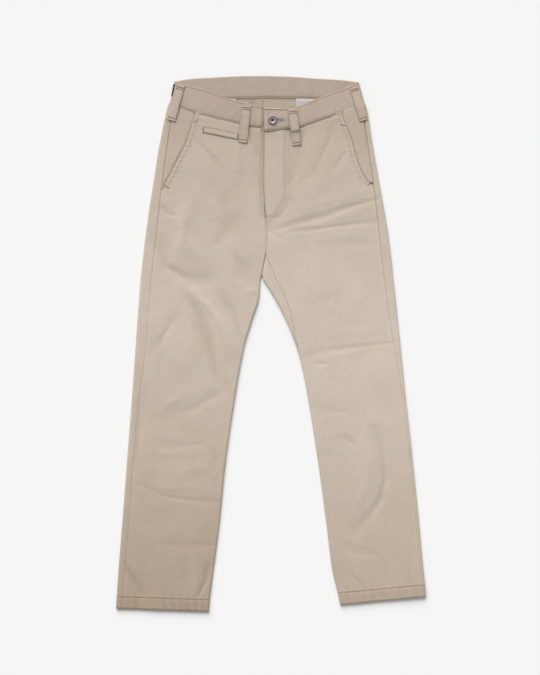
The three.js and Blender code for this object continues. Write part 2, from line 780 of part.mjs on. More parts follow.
addPiece('fly_shield', sheetGeometry({
  top: 404,
  bottom: 238,
  left: () => -24,
  right: () => 17,
  rows: 4,
  columns: 2,
  wall: SHIELD_WALL,
  level: () => SHIELD_LEVEL,
}), twill);
addPiece('zip', sheetGeometry({
  top: 404,
  bottom: 250,
  left: () => -8,
  right: () => 22,
  rows: 4,
  columns: 2,
  wall: ZIP_WALL,
  level: () => ZIP_LEVEL,
}), zipCloth);

const LOOPS = {
  belt_loop_front_right: ['right', -47, 465, -55, 391],
  belt_loop_front_left: ['left', 41.5, 457, 51, 386],
  belt_loop_side_right: ['right', -175.5, 504, -194.5, 434],
  belt_loop_side_left: ['left', 161.5, 500, 181.5, 434],
};
for (const [name, [side, fromX, fromY, toX, toY]] of Object.entries(LOOPS)) {
  addPiece(name, beltLoop(side, { x: fromX, y: fromY }, { x: toX, y: toY }), twill);
}

// The centre back loop and the blank patch lie under the waistband, on the surface.
addPiece('belt_loop_centre_back', sheetGeometry({
  top: 520,
  bottom: 448,
  left: () => -7 - LOOP_WIDTH / 2,
  right: () => -7 + LOOP_WIDTH / 2,
  rows: 4,
  columns: 2,
  wall: WAIST_LIFT - SEAM_GAP,
  level: () => 0,
}), twill);
addPiece('waist_patch', sheetGeometry({
  top: 507,
  bottom: 482,
  left: (y) => -194.5 + (y - 482) * 0.19,
  right: () => -120,
  rows: 2,
  columns: 4,
  wall: WAIST_LIFT - SEAM_GAP,
  level: () => 0,
}), patchHide);
addPiece('button', tackButton(), metal);

export default trousers;
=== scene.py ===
import math
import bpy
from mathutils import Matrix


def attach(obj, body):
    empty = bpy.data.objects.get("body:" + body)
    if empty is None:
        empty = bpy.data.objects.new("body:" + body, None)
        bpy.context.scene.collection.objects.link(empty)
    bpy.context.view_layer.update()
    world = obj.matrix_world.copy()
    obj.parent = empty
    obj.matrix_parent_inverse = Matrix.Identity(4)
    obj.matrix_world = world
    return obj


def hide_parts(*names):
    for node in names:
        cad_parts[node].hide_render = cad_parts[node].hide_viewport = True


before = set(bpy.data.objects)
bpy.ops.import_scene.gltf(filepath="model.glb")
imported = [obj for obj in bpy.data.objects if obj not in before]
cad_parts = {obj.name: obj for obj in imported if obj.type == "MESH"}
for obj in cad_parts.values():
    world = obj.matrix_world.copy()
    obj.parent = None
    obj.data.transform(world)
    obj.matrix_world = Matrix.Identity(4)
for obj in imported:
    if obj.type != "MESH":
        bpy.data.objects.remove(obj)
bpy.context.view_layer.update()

from types import SimpleNamespace

import bmesh
import bpy
from mathutils import Matrix, Vector, noise

# Camera
# The trousers lie on their back and are seen from straight above, with the waist at the top.
# The lens takes in a frame 1.316 m long at the cloth, from 3 m up.
CAMERA_HEIGHT = 3.0
VIEW_LENGTH = 1.316
SENSOR = 36.0
VIEW_CENTRE = (-0.0016, 0.0125)
camera_data = bpy.data.cameras.new("camera")
camera_data.sensor_width = SENSOR
camera_data.lens = SENSOR * CAMERA_HEIGHT / VIEW_LENGTH
camera = bpy.data.objects.new("camera", camera_data)
camera.location = (*VIEW_CENTRE, CAMERA_HEIGHT)
bpy.context.scene.collection.objects.link(camera)
bpy.context.scene.camera = camera


# Floor and studio light
# A pale matt floor, one soft broad light that falls evenly from beyond the waist, and an even
# white surround. The soft shadows fall below the hems.
def feed(tree, node, links):
    """Gives a node's inputs the sockets or the values that they take, by name."""
    for name, value in links.items():
        if isinstance(value, bpy.types.NodeSocket):
            tree.links.new(value, node.inputs[name])
        else:
            node.inputs[name].default_value = value


def add_node(tree, kind, links=None, **settings):
    """Adds a node with its settings and its inputs."""
    node = tree.nodes.new(kind)
    for name, value in settings.items():
        setattr(node, name, value)
    feed(tree, node, links or {})
    return node


def new_material(name):
    """An empty node material with its Principled shader already joined to the output."""
    material = bpy.data.materials.new(name)
    material.use_nodes = True
    tree = material.node_tree
    tree.nodes.clear()
    shader = tree.nodes.new("ShaderNodeBsdfPrincipled")
    output = tree.nodes.new("ShaderNodeOutputMaterial")
    tree.links.new(shader.outputs["BSDF"], output.inputs["Surface"])
    return material, tree, shader


def srgb(red, green, blue):
    """A colour as the eye reads it, 0 to 255 in each part, turned into the shader's own values."""
    parts = [part / 255 for part in (red, green, blue)]
    lit = [part / 12.92 if part <= 0.04045 else ((part + 0.055) / 1.055) ** 2.4 for part in parts]
    return (*lit, 1.0)


FLOOR_HALF = 4.0
FLOOR_DROP = 0.0004
FLOOR_WHITE = 0.93
floor_mesh = bmesh.new()
bmesh.ops.create_grid(floor_mesh, x_segments=2, y_segments=2, size=FLOOR_HALF)
floor_data = bpy.data.meshes.new("studio_floor")
floor_mesh.to_mesh(floor_data)
floor_mesh.free()
floor = bpy.data.objects.new("studio_floor", floor_data)
floor.location = (0, 0, -FLOOR_DROP)
bpy.context.scene.collection.objects.link(floor)
floor_finish, floor_tree, floor_shader = new_material("studio floor")
feed(floor_tree, floor_shader, {"Base Color": (FLOOR_WHITE, FLOOR_WHITE, FLOOR_WHITE, 1.0), "Roughness": 1.0,
                                "Specular IOR Level": 0.0})
floor_data.materials.append(floor_finish)

SURROUND = 0.38
KEY_STRENGTH = 3.26
KEY_SPREAD = math.radians(46)
KEY_FROM = Vector((-0.32, 1.20, 0.90))
world = bpy.data.worlds.new("studio")
world.use_nodes = True
feed(world.node_tree, world.node_tree.nodes["Background"],
     {"Color": (1.0, 1.0, 1.0, 1.0), "Strength": SURROUND})
bpy.context.scene.world = world
key_data = bpy.data.lights.new("soft_key", "SUN")
key_data.energy = KEY_STRENGTH
key_data.angle = KEY_SPREAD
key = bpy.data.objects.new("soft_key", key_data)
key.location = KEY_FROM
key.rotation_euler = (-KEY_FROM).to_track_quat("-Z", "Y").to_euler()
bpy.context.scene.collection.objects.link(key)
bpy.context.scene.view_settings.view_transform = "Standard"

# Fronts
# Two front panels of washed cotton twill, each one cut piece from the waist seam to the hem.
# They lie on the backs, are sewn to them at the side seam and inseam, and meet at the fly.

# Cloth and how high it lies
CLOTH = 0.0012
HEM_CLOTH = 0.0024
FLAT_HEIGHT = 0.0062
RADIUS = FLAT_HEIGHT / 2
SEAM_GAP = 0.0003
# The waist stands a little off the floor, from a place on Y and over a run
WAIST_LIFT = 0.0014
LIFT_FROM = 0.396
LIFT_RUN = 0.044
# How far the panels reach under the waistband, and how far they dip there
UNDER_BAND = 0.005
BAND_DIP = 0.0006
# Foot of the fly and of the centre seam, on Y
FLY_BOTTOM = 0.246
CROTCH = 0.173
# How far the right front runs on under the left one at the fly, and the left one over the seam
UNDERLAP = 0.008
LAP_OVER = 0.0006
# The fly lap lies higher, fading out past its line of stitching and at its foot
LAP_RISE = 0.0019
LAP_PAST = 0.004
LAP_FADE = 0.010
LAP_FOOT = (0.228, 0.250)
# Strips of doubled cloth beside the pocket mouths and the fly, and the gathers in them
DOUBLE_RISE = 0.0005
POCKET_STRIP = (0.009, 0.013)
FLY_STRIP = (0.0075, 0.0105)
GATHER = 0.00035
GATHER_RATE = 620
# Turned-up hems: depth, line of stitching, thickness, roping and how far all this is felt
HEM_DEPTH = 0.025
HEM_STITCH = 0.0232
HEM_RISE = 0.0009
HEM_ROPE = 0.00025
HEM_REACH = 0.06
HEM_ROLL = 0.0022
HEM_DROP = 0.0014
# Roundness of a free edge and of one that is sewn down
FREE_ROLL = 0.0010
SEAM_ROLL = 0.0005
PANEL_ROWS = 330
PANEL_COLUMNS = 54
# A crease is felt out to this many half widths, and its width wavers by this share
CREASE_REACH = 2.4
CREASE_WAVER = 0.35
# How much a crease rubs lighter on its ridge, and how much painted shade darkens its hollow, for each metre
# of height
RIDGE_WEAR = 30
HOLLOW_PAINTED_SHADE = 34
# Direction along X away from the middle
OUTWARD = {"right": -1, "left": 1}

# Stations down each leg: outer edge x and y, inner edge x and y, and how far in from the
# outer edge the side seam runs on the upper side.
STATIONS = {
    "right": [
        (-0.196, 0.466, -0.013, 0.420, 0.008), (-0.215, 0.398, -0.013, 0.374, 0.015),
        (-0.228, 0.320, -0.014, 0.310, 0.017), (-0.240, 0.242, -0.010, 0.238, 0.020),
        (-0.249, 0.171, -0.011, 0.173, 0.021), (-0.254, 0.125, -0.020, 0.127, 0.021),
        (-0.257, 0.086, -0.024, 0.086, 0.021), (-0.260, 0.047, -0.037, 0.046, 0.021),
        (-0.264, -0.012, -0.054, -0.014, 0.020), (-0.271, -0.109, -0.071, -0.111, 0.015),
        (-0.280, -0.226, -0.088, -0.229, 0.012), (-0.289, -0.343, -0.100, -0.347, 0.013),
        (-0.297, -0.443, -0.113, -0.449, 0.012), (-0.300, -0.489, -0.119, -0.495, 0.012),
        (-0.302, -0.515, -0.121, -0.521, 0.012),
    ],
    "left": [
        (0.184, 0.461, -0.014, 0.413, 0.008), (0.197, 0.394, -0.013, 0.374, 0.009),
        (0.210, 0.320, -0.014, 0.310, 0.011), (0.224, 0.242, -0.010, 0.238, 0.016),
        (0.234, 0.171, -0.011, 0.173, 0.018), (0.238, 0.129, -0.016, 0.130, 0.017),
        (0.241, 0.105, -0.002, 0.105, 0.017), (0.245, 0.066, 0.020, 0.066, 0.016),
        (0.250, 0.017, 0.042, 0.016, 0.014), (0.255, -0.031, 0.058, -0.034, 0.010),
        (0.263, -0.109, 0.074, -0.115, 0.006), (0.276, -0.226, 0.093, -0.236, 0.005),
        (0.288, -0.343, 0.109, -0.356, 0.005), (0.295, -0.421, 0.119, -0.435, 0.005),
        (0.300, -0.467, 0.130, -0.483, 0.005), (0.302, -0.492, 0.135, -0.508, 0.005),
    ],
}
# Centre seams, as y and x
CENTRE_FRONT = [(0.133, -0.0176), (0.172, -0.0108), (0.196, -0.0088), (0.232, -0.0088), (0.264, -0.0117),
                (0.320, -0.0146), (0.415, -0.013), (0.457, -0.0144)]
FORK = 0.133
# How far the left inseam runs in from the inner edge on the upper side, as y and distance
LEFT_INSEAM = [(-0.020, 0.0), (0.017, 0.005), (0.066, 0.0165), (0.105, 0.0235), (0.130, 0.025),
               (0.150, 0.015), (0.173, 0.0)]
# Waist seams, as x and y
WAIST_SEAM = {
    "right": [(-0.197, 0.4665), (-0.174, 0.458), (-0.136, 0.445), (-0.095, 0.435), (-0.063, 0.428),
              (-0.041, 0.423), (-0.013, 0.4205), (0.026, 0.4205)],
    "left": [(-0.014, 0.413), (0.002, 0.4125), (0.026, 0.417), (0.056, 0.421), (0.088, 0.432),
             (0.115, 0.441), (0.138, 0.448), (0.169, 0.457), (0.184, 0.461)],
    "back": [(-0.197, 0.4665), (-0.161, 0.472), (-0.111, 0.4755), (-0.041, 0.478), (0.030, 0.478),
             (0.092, 0.4765), (0.141, 0.4715), (0.184, 0.461)],
}
# Edges of the slanted pocket mouths, as y and x
POCKET_EDGE = {
    "right": [(0.302, -0.209), (0.314, -0.206), (0.328, -0.198), (0.359, -0.182), (0.390, -0.166),
              (0.412, -0.159), (0.435, -0.152), (0.450, -0.147)],
    "left": [(0.308, 0.199), (0.321, 0.185), (0.342, 0.174), (0.370, 0.165), (0.393, 0.159),
             (0.409, 0.153), (0.428, 0.146), (0.450, 0.138)],
}
# Edge of the fly lap and its curved foot, as y and x
LAP_EDGE = [(0.2475, -0.0055), (0.2494, 0.0031), (0.2658, 0.0152), (0.2767, 0.0191), (0.2904, 0.0277)]

# Creases: half width, height, then the points that each one passes through
CREASES = {
    "right": [
        (0.0140, 0.0024, (-0.150, 0.096), (-0.124, 0.076), (-0.107, 0.054), (-0.091, 0.023),
         (-0.078, -0.014)),
        (0.0120, -0.0034, (-0.160, 0.090), (-0.140, 0.052), (-0.124, 0.008), (-0.110, -0.045),
         (-0.102, -0.076)),
        (0.0110, -0.0022, (-0.100, 0.096), (-0.072, 0.056), (-0.052, -0.006)),
        (0.0190, -0.0021, (-0.216, 0.200), (-0.204, 0.150), (-0.160, 0.126), (-0.110, 0.122)),
        (0.0180, 0.0030, (-0.173, 0.250), (-0.169, 0.180)),
        (0.0200, -0.0014, (-0.066, 0.240), (-0.111, 0.191)),
        (0.0160, -0.0014, (-0.070, 0.170), (-0.042, 0.125)),
        (0.0140, 0.0012, (-0.050, 0.098), (-0.034, 0.104)),
        (0.0180, -0.0009, (-0.232, -0.152), (-0.148, -0.125), (-0.070, -0.074)),
        (0.0170, 0.0008, (-0.205, -0.117), (-0.108, -0.080)),
        (0.0090, -0.0006, (-0.228, -0.194), (-0.181, -0.199), (-0.132, -0.195)),
        (0.0160, 0.0006, (-0.226, -0.215), (-0.148, -0.213)),
        (0.0070, -0.0008, (-0.251, -0.275), (-0.206, -0.297), (-0.158, -0.304), (-0.098, -0.307)),
        (0.0160, 0.0006, (-0.226, -0.278), (-0.128, -0.283)),
        (0.0090, -0.0007, (-0.226, -0.388), (-0.165, -0.392), (-0.110, -0.391)),
        (0.0060, -0.0022, (-0.284, -0.425), (-0.273, -0.451), (-0.259, -0.476), (-0.249, -0.492)),
        (0.0080, 0.0012, (-0.267, -0.425), (-0.241, -0.476)),
        (0.0065, -0.0022, (-0.121, -0.430), (-0.127, -0.462), (-0.140, -0.490)),
        (0.0060, 0.0012, (-0.146, -0.430), (-0.144, -0.482)),
        (0.0080, -0.0009, (-0.163, -0.417), (-0.167, -0.460)),
        (0.0070, -0.0010, (-0.107, -0.205), (-0.107, -0.240)),
        (0.0140, -0.0018, (-0.250, -0.070), (-0.257, -0.160), (-0.262, -0.240)),
        (0.0065, -0.0010, (-0.212, -0.020), (-0.216, -0.060)),
        (0.0075, -0.0013, (-0.140, 0.390), (-0.119, 0.368), (-0.099, 0.341)),
        (0.0070, -0.0018, (-0.040, 0.421), (-0.038, 0.392), (-0.022, 0.359)),
        (0.0100, -0.0014, (-0.022, 0.400), (-0.018, 0.300), (-0.018, 0.240)),
        (0.0120, 0.0012, (-0.064, 0.398), (-0.062, 0.347)),
        (0.0220, -0.0012, (-0.095, 0.300), (-0.076, 0.240)),
        (0.0110, -0.0012, (-0.190, 0.045), (-0.226, -0.012)),
        (0.0060, -0.0013, (-0.216, 0.270), (-0.200, 0.252), (-0.185, 0.250)),
        (0.0200, 0.0012, (-0.190, 0.030), (-0.170, -0.060)),
        (0.0220, 0.0009, (-0.128, -0.240), (-0.200, -0.250)),
    ],
    "left": [
        (0.0075, -0.0016, (0.004, 0.221), (0.057, 0.237), (0.096, 0.247), (0.147, 0.265), (0.209, 0.282)),
        (0.0140, 0.0005, (0.050, 0.262), (0.110, 0.277), (0.190, 0.302)),
        (0.0100, 0.0004, (0.080, 0.232), (0.140, 0.248), (0.197, 0.257)),
        (0.0065, -0.0012, (0.030, 0.218), (0.080, 0.222), (0.135, 0.230), (0.205, 0.238)),
        (0.0140, 0.0004, (0.050, 0.196), (0.115, 0.205), (0.184, 0.213)),
        (0.0060, -0.0006, (-0.005, 0.220), (0.022, 0.206)),
        (0.0080, -0.0010, (0.034, 0.433), (0.036, 0.359), (0.031, 0.300)),
        (0.0110, -0.0016, (0.062, 0.407), (0.050, 0.349), (0.036, 0.304)),
        (0.0110, -0.0012, (0.125, 0.425), (0.110, 0.388), (0.082, 0.331)),
        (0.0140, 0.0008, (0.095, 0.420), (0.080, 0.380)),
        (0.0070, -0.0012, (0.145, 0.375), (0.123, 0.338)),
        (0.0075, -0.0010, (0.064, -0.026), (0.110, -0.014), (0.160, -0.006), (0.238, 0.002)),
        (0.0150, 0.0004, (0.086, 0.012), (0.139, 0.022), (0.225, 0.030)),
        (0.0050, -0.0010, (0.084, -0.037), (0.115, -0.041)),
        (0.0070, -0.0010, (0.138, -0.180), (0.166, -0.196)),
        (0.0120, -0.0022, (0.201, -0.168), (0.217, -0.217), (0.222, -0.265), (0.213, -0.304),
         (0.186, -0.343), (0.160, -0.366)),
        (0.0150, 0.0010, (0.180, -0.191), (0.190, -0.234), (0.185, -0.277), (0.166, -0.316)),
        (0.0110, -0.0009, (0.131, -0.380), (0.160, -0.402), (0.205, -0.410)),
        (0.0070, -0.0008, (0.152, -0.447), (0.174, -0.466), (0.182, -0.480)),
        (0.0070, -0.0013, (0.268, -0.430), (0.270, -0.472)),
        (0.0100, -0.0007, (0.141, 0.199), (0.200, 0.193)),
        (0.0110, -0.0006, (0.090, -0.125), (0.156, -0.135)),
        (0.0090, -0.0009, (0.269, -0.265), (0.277, -0.304)),
        (0.0200, -0.0008, (0.080, 0.080), (0.140, 0.099)),
        (0.0220, 0.0010, (0.115, 0.168), (0.158, 0.086)),
        (0.0200, -0.0008, (0.200, -0.060), (0.225, -0.130)),
    ],
    # On the back's inner side in the waist opening: these only darken it, as painted shade of folds that are
    # not built.
    "inside": [
        (0.0020, -0.0012, (-0.053, 0.4755), (-0.028, 0.4750)),
        (0.0022, -0.0010, (-0.043, 0.4695), (-0.030, 0.4690)),
        (0.0022, -0.0010, (0.026, 0.4600), (0.045, 0.4600)),
        (0.0016, -0.0005, (-0.012, 0.4745), (0.048, 0.4750)),
    ],
    "under": [
        (0.0170, 0.0011, (-0.222, 0.146), (-0.180, 0.134), (-0.140, 0.127), (-0.105, 0.126),
         (-0.075, 0.131)),
        (0.0150, 0.0009, (-0.232, -0.014), (-0.195, -0.028), (-0.160, -0.034), (-0.120, -0.030),
         (-0.090, -0.020)),
        (0.0140, 0.0010, (-0.235, -0.258), (-0.200, -0.270), (-0.165, -0.286)),
        (0.0170, 0.0011, (0.040, 0.148), (0.080, 0.134), (0.115, 0.129), (0.155, 0.133), (0.190, 0.146)),
        (0.0150, 0.0009, (0.085, -0.028), (0.120, -0.017), (0.155, -0.013), (0.190, -0.020),
         (0.215, -0.033)),
        (0.0140, 0.0010, (0.150, -0.298), (0.185, -0.288), (0.220, -0.272)),
    ],
}
# The hems pucker where they were turned up, the right one more: places along X, depth, half
# width, and how the puckers lean about a line across the hem
HEM_PUCKERS = {"right": (-0.261, -0.206, -0.189, -0.175, -0.161, -0.146, -0.132),
               "left": (0.152, 0.181, 0.199, 0.222, 0.251, 0.281)}
PUCKER_DEPTH = {"right": 0.0011, "left": 0.0006}
PUCKER_HALF = 0.0034
PUCKER_LEAN = 0.10
PUCKER_MIDDLE = 0.012
# Painted light and shade down each leg, lightest about the thighs and darker towards the hems and a little
# at the waist, as y and brightness
PAINTED_LIGHT_FALLOFF = {
    "right": [(-0.52, 0.755), (-0.42, 0.79), (-0.20, 0.94), (0.0, 1.02), (0.13, 1.03), (0.33, 0.97),
              (0.46, 0.91)],
    "left": [(-0.50, 0.885), (-0.42, 0.90), (-0.20, 1.02), (0.0, 1.07), (0.13, 1.06), (0.33, 0.98),
             (0.46, 0.93)],
}


def clamp01(value):
    return min(max(value, 0.0), 1.0)


def smooth(start, end, value):
    share = clamp01((value - start) / (end - start))
    return share * share * (3 - 2 * share)


def mix(first, second, share):
    return first + (second - first) * share


def spaced(start, end, count):
    """Evenly spaced values from start to end, count steps apart."""
    return [mix(start, end, k / count) for k in range(count + 1)]


def bell(offset, width):
    """A soft hump: 1 in the middle, falling away on both sides."""
    return math.exp(-(offset / width) ** 2)


def dark_line(distance, at, width, depth):
    """The shade across a soft dark line."""
    return 1 - depth * bell(distance - at, width)


def both(make):
    """The same piece for the wearer's right and left."""
    return {side: make(side) for side in ("right", "left")}


def along(table, place):
    """A smooth curve through (place, value) pairs with rising places, level past both ends."""
    if place <= table[0][0]:
        return table[0][1]
    if place >= table[-1][0]:
        return table[-1][1]
    i = 0
    while place > table[i + 1][0]:
        i += 1
    at, value = table[i]
    next_at, next_value = table[i + 1]
    before_at, before = table[max(i - 1, 0)]
    after_at, after = table[min(i + 2, len(table) - 1)]
    span = next_at - at
    t = (place - at) / span
    first_slope = (next_value - before) / (next_at - before_at)
    last_slope = (after - value) / (after_at - at)
    start = (1 + 2 * t) * (1 - t) ** 2
    bow = span * t * (1 - t) * ((1 - t) * first_slope - t * last_slope)
    return start * value + (1 - start) * next_value + bow


def marks(length, middle, first=(0.0,), last=(0.0,)):
    """Distances along a strip: close together at its two ends and even between them."""
    inner = spaced(first[-1], length - last[-1], middle)[1:-1]
    return [*first, *inner, *(length - step for step in reversed(last))]


def leg_rows(side, stations, centre_seam):
    """Gives the row across a leg at a distance down it, worked out from the stations."""
    drops = [0.0]
    for upper, lower in zip(stations, stations[1:]):
        drops.append(drops[-1] + (upper[1] + upper[3] - lower[1] - lower[3]) / 2)
    places = [(drop, i) for i, drop in enumerate(drops)]
    columns = [[(i, row[c]) for i, row in enumerate(stations)] for c in range(5)]
    known = {}

    def row(distance):
        if distance not in known:
            place = along(places, distance)
            outer_x, outer_y, inner_x, inner_y, seam = [along(column, place) for column in columns]
            if inner_y > FORK:
                inner_x = along(centre_seam, inner_y) + OUTWARD[side] * SEAM_GAP / 2
            known[distance] = SimpleNamespace(
                outer=Vector((outer_x, outer_y)), inner=Vector((inner_x, inner_y)), seam=seam,
                length=math.hypot(inner_x - outer_x, inner_y - outer_y),
                bend=(1 - clamp01(place)) ** 2, to_hem=drops[-1] - distance)
        return known[distance]

    return row, drops[-1]


def on_row(row, s, waist_seam):
    """The point at a distance s in from the outer edge; the top rows bend to the waist seam."""
    at = row.outer.lerp(row.inner, s / row.length)
    if row.bend > 0:
        at.y += row.bend * (along(waist_seam, at.x) + UNDER_BAND - at.y)
    return at


def crease_stretches(creases):
    """Each crease as its straight stretches, with the box outside which it isn't felt."""
    ready = []
    for half_width, height, *points in creases:
        reach = CREASE_REACH * half_width
        xs, ys = zip(*points)
        box = (min(xs) - reach, max(xs) + reach, min(ys) - reach, max(ys) + reach)
        stretches, run = [], 0.0
        for (ax, ay), (bx, by) in zip(points, points[1:]):
            length = math.hypot(bx - ax, by - ay)
            stretches.append((ax, ay, bx - ax, by - ay, length, run))
            run += length
        ready.append((half_width, height, box, stretches, run))
    return ready


CREASE_STRETCHES = {side: crease_stretches(rows) for side, rows in CREASES.items()}


def crease_height(side, x, y):
    """What the hand-placed creases add to the cloth's height at a point."""
    total = 0.0
    for half_width, height, box, stretches, whole in CREASE_STRETCHES[side]:
        if not (box[0] < x < box[1] and box[2] < y < box[3]):
            continue
        nearest, share = 1.0, 0.0
        for ax, ay, dx, dy, length, run in stretches:
            t = clamp01(((x - ax) * dx + (y - ay) * dy) / length ** 2)
            off = math.hypot(x - ax - t * dx, y - ay - t * dy)
            if off < nearest:
                nearest, share = off, (run + t * length) / whole
        width = half_width * (0.8 + CREASE_WAVER * math.sin(5 * share + 90 * height / half_width))
        q = (nearest / width) ** 2
        taper = math.sin(math.pi * (0.12 + 0.76 * share)) ** 0.8
        total += height * (1 - 0.25 * q) * math.exp(-q) * taper
    return total


def ripple(x, y, *waves):
    """Soft noise over the cloth: a height, how often it changes along x and y, and a seed each."""
    return sum(height * noise.noise(Vector((x * along_x, y * along_y, seed)))
               for height, along_x, along_y, seed in waves)


def unevenness(x, y):
    """The slow rise and fall of cloth that isn't pressed flat."""
    return ripple(x, y, (0.0011, 12, 9, 3.1), (0.0007, 26, 20, 5.4), (0.00018, 60, 46, 7.7))


def waist_lift(y):
    """How far the garment is lifted towards its waist."""
    return WAIST_LIFT * clamp01((y - LIFT_FROM) / LIFT_RUN)


def lap_raise(x, y):
    """The fly lap stands higher over the zip, out to its curved line of stitching."""
    edge = along(LAP_EDGE, y) + LAP_PAST
    return LAP_RISE * (1 - smooth(edge, edge + LAP_FADE, x)) * smooth(*LAP_FOOT, y)


def beside_pocket(side, x, y):
    """The pocket mouth is doubled and gathers a little along its stitching."""
    edge = POCKET_EDGE[side]
    low = edge[0][0]
    if y < low - 0.01:
        return 0.0
    inward = (along(edge, y) - x) * OUTWARD[side]
    doubled = DOUBLE_RISE * (1 - smooth(*POCKET_STRIP, inward))
    gather = GATHER * math.sin(y * GATHER_RATE) * bell(inward - 0.008, 0.007)
    return (doubled + gather) * smooth(low - 0.01, low + 0.02, y)


def beside_fly(x, y):
    """The right front is doubled in a narrow strip along the fly."""
    off = along(CENTRE_FRONT, y) - x
    strip = smooth(-0.001, 0.001, off) * (1 - smooth(*FLY_STRIP, off))
    return DOUBLE_RISE * strip * smooth(0.225, 0.24, y)


def front_height(side, x, y, crease=None):
    """Height of a front's face."""
    crease = crease_height(side, x, y) if crease is None else crease
    height = FLAT_HEIGHT + waist_lift(y) + crease + unevenness(x, y) + beside_pocket(side, x, y)
    return height + (lap_raise(x, y) if side == "left" else beside_fly(x, y))


def hem_pucker(side, x, to_hem):
    """How strongly the slanting puckers of a hem are felt at a point."""
    lean = PUCKER_LEAN * (to_hem - PUCKER_MIDDLE)
    return sum(bell(x - at + lean, PUCKER_HALF) for at in HEM_PUCKERS[side])


def hem_height(side, x, to_hem):
    """The turned-up hem is double, roped along its stitching and rounded at its lower edge."""
    if to_hem > HEM_REACH:
        return 0.0
    doubled = HEM_RISE * (1 - smooth(HEM_DEPTH - 0.001, HEM_DEPTH + 0.0015, to_hem))
    groove = -HEM_RISE * bell(to_hem - HEM_STITCH, 0.0014)
    edge = -HEM_DROP * (1 - smooth(0.0, HEM_ROLL, to_hem))
    rope = HEM_ROPE * math.sin(x * 480 + to_hem * 150)
    pucker = PUCKER_DEPTH[side] * hem_pucker(side, x, to_hem)
    return doubled + groove + edge + (rope - pucker) * bell(max(to_hem - HEM_DEPTH, 0), 0.006)


def hem_shade(side, x, to_hem):
    """The hem is a little darker, with painted shade in its puckers, and darkest along its line of
    stitching, where painted shade fills its groove.
    """
    if to_hem > HEM_REACH:
        return 1.0
    band = 0.07 * (1 - smooth(HEM_DEPTH - 0.002, HEM_DEPTH + 0.002, to_hem))
    hollow = 90 * PUCKER_DEPTH[side] * hem_pucker(side, x, to_hem) * math.exp(-(to_hem / 0.027) ** 4)
    return (1 - band) * (1 - hollow) * dark_line(to_hem, at=HEM_STITCH, width=0.0011, depth=0.30)


def seam_shade_and_soil(distance, y):
    """Darkening beside the long seams, partly painted shade and partly soil, clear at the hips and faint
    down the legs.
    """
    return dark_line(distance, at=0, width=0.0010, depth=mix(0.06, 0.26, smooth(0.02, 0.30, y)))


def rolled(distance, radius=FREE_ROLL):
    """How far a folded edge drops at a small distance from its end."""
    if distance >= radius:
        return 0.0
    return radius - math.sqrt(max(radius ** 2 - (radius - distance) ** 2, 0.0))


def cloth_piece(name, across, down, shape, finishes, wall, nodes=(), face_up=True, thick=None):
    """A shell of cloth from a grid. The shape gives each grid point its place, its place on the
    cut cloth, its shade and how worn it is; thick marks where the wall is doubled."""
    bm = bmesh.new()
    bmesh.ops.create_grid(bm, x_segments=across, y_segments=down, size=0.5)
    weave = bm.loops.layers.uv.new("weave")
    tone_layer = bm.verts.layers.float.new("tone")
    wear_layer = bm.verts.layers.float.new("wear")
    group_layer = bm.verts.layers.deform.verify()
    cut = {}
    for vert in bm.verts:
        i = round((vert.co.x + 0.5) * across)
        j = round((0.5 - vert.co.y) * down)
        place, cut[vert], tone, wear = shape(i, j)
        vert.co = place
        vert[tone_layer] = tone
        vert[wear_layer] = clamp01(wear)
        if thick:
            vert[group_layer][0] = thick(i, j)
    for face in bm.faces:
        face.smooth = True
        for loop in face.loops:
            loop[weave].uv = cut[loop.vert]
    bm.normal_update()
    if (sum(face.normal.z * face.calc_area() for face in bm.faces) > 0) != face_up:
        bmesh.ops.reverse_faces(bm, faces=bm.faces)
    return finish_piece(name, bm, finishes, wall, nodes, thick)


def finish_piece(name, bm, finishes, wall, nodes=(), thick=None):
    """Makes the object, gives it its wall and finishes, and ties it to the part."""
    data = bpy.data.meshes.new(name)
    bm.to_mesh(data)
    bm.free()
    piece = bpy.data.objects.new(name, data)
    bpy.context.scene.collection.objects.link(piece)
    for finish in finishes:
        data.materials.append(finish)
    if thick:
        piece.vertex_groups.new(name="doubled")
    if wall:
        solidify = piece.modifiers.new("wall", "SOLIDIFY")
        solidify.thickness = HEM_CLOTH if thick else wall
        solidify.offset = -1.0
        solidify.material_offset = len(finishes) - 1
        if thick:
            solidify.vertex_group = "doubled"
            solidify.thickness_vertex_group = wall / HEM_CLOTH
    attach(piece, "root")
    if nodes:
        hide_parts(*nodes)
    return piece


def node_group(name, inputs, outputs):
    """A shader node group with named sockets."""
    group = bpy.data.node_groups.new(name, "ShaderNodeTree")
    for way, sockets in (("INPUT", inputs), ("OUTPUT", outputs)):
        for socket, kind in sockets:
            group.interface.new_socket(name=socket, in_out=way, socket_type="NodeSocket" + kind)
    return group, add_node(group, "NodeGroupInput").outputs, add_node(group, "NodeGroupOutput")


def calc(tree, operation, first, second, third=0.5):
    """The result of a math node."""
    return add_node(tree, "ShaderNodeMath", {0: first, 1: second, 2: third}, operation=operation).outputs[0]


def vector_calc(tree, operation, links):
    """The result of a vector math node."""
    return add_node(tree, "ShaderNodeVectorMath", links, operation=operation).outputs[0]


def mapped(tree, place, **changes):
    """A place moved or scaled."""
    return add_node(tree, "ShaderNodeMapping", {"Vector": place, **changes}).outputs[0]


def remap(tree, value, given, wanted):
    """A value carried from one range to another, and held inside it."""
    return add_node(tree, "ShaderNodeMapRange", {"Value": value, "From Min": given[0], "From Max": given[1],
                    "To Min": wanted[0], "To Max": wanted[1]}).outputs[0]


def cloud(tree, place, scale, detail=2.0, roughness=0.5, distortion=0.0):
    """Soft spots of noise."""
    return add_node(tree, "ShaderNodeTexNoise", {"Vector": place, "Scale": scale, "Detail": detail,
                    "Roughness": roughness, "Distortion": distortion}).outputs["Fac"]


def stripes(tree, place, direction, scale, distortion, detail=2.0):
    """Even lines, a little wavy."""
    return add_node(tree, "ShaderNodeTexWave", {"Vector": place, "Scale": scale, "Distortion": distortion,
                    "Detail": detail}, wave_type="BANDS", bands_direction=direction).outputs["Fac"]


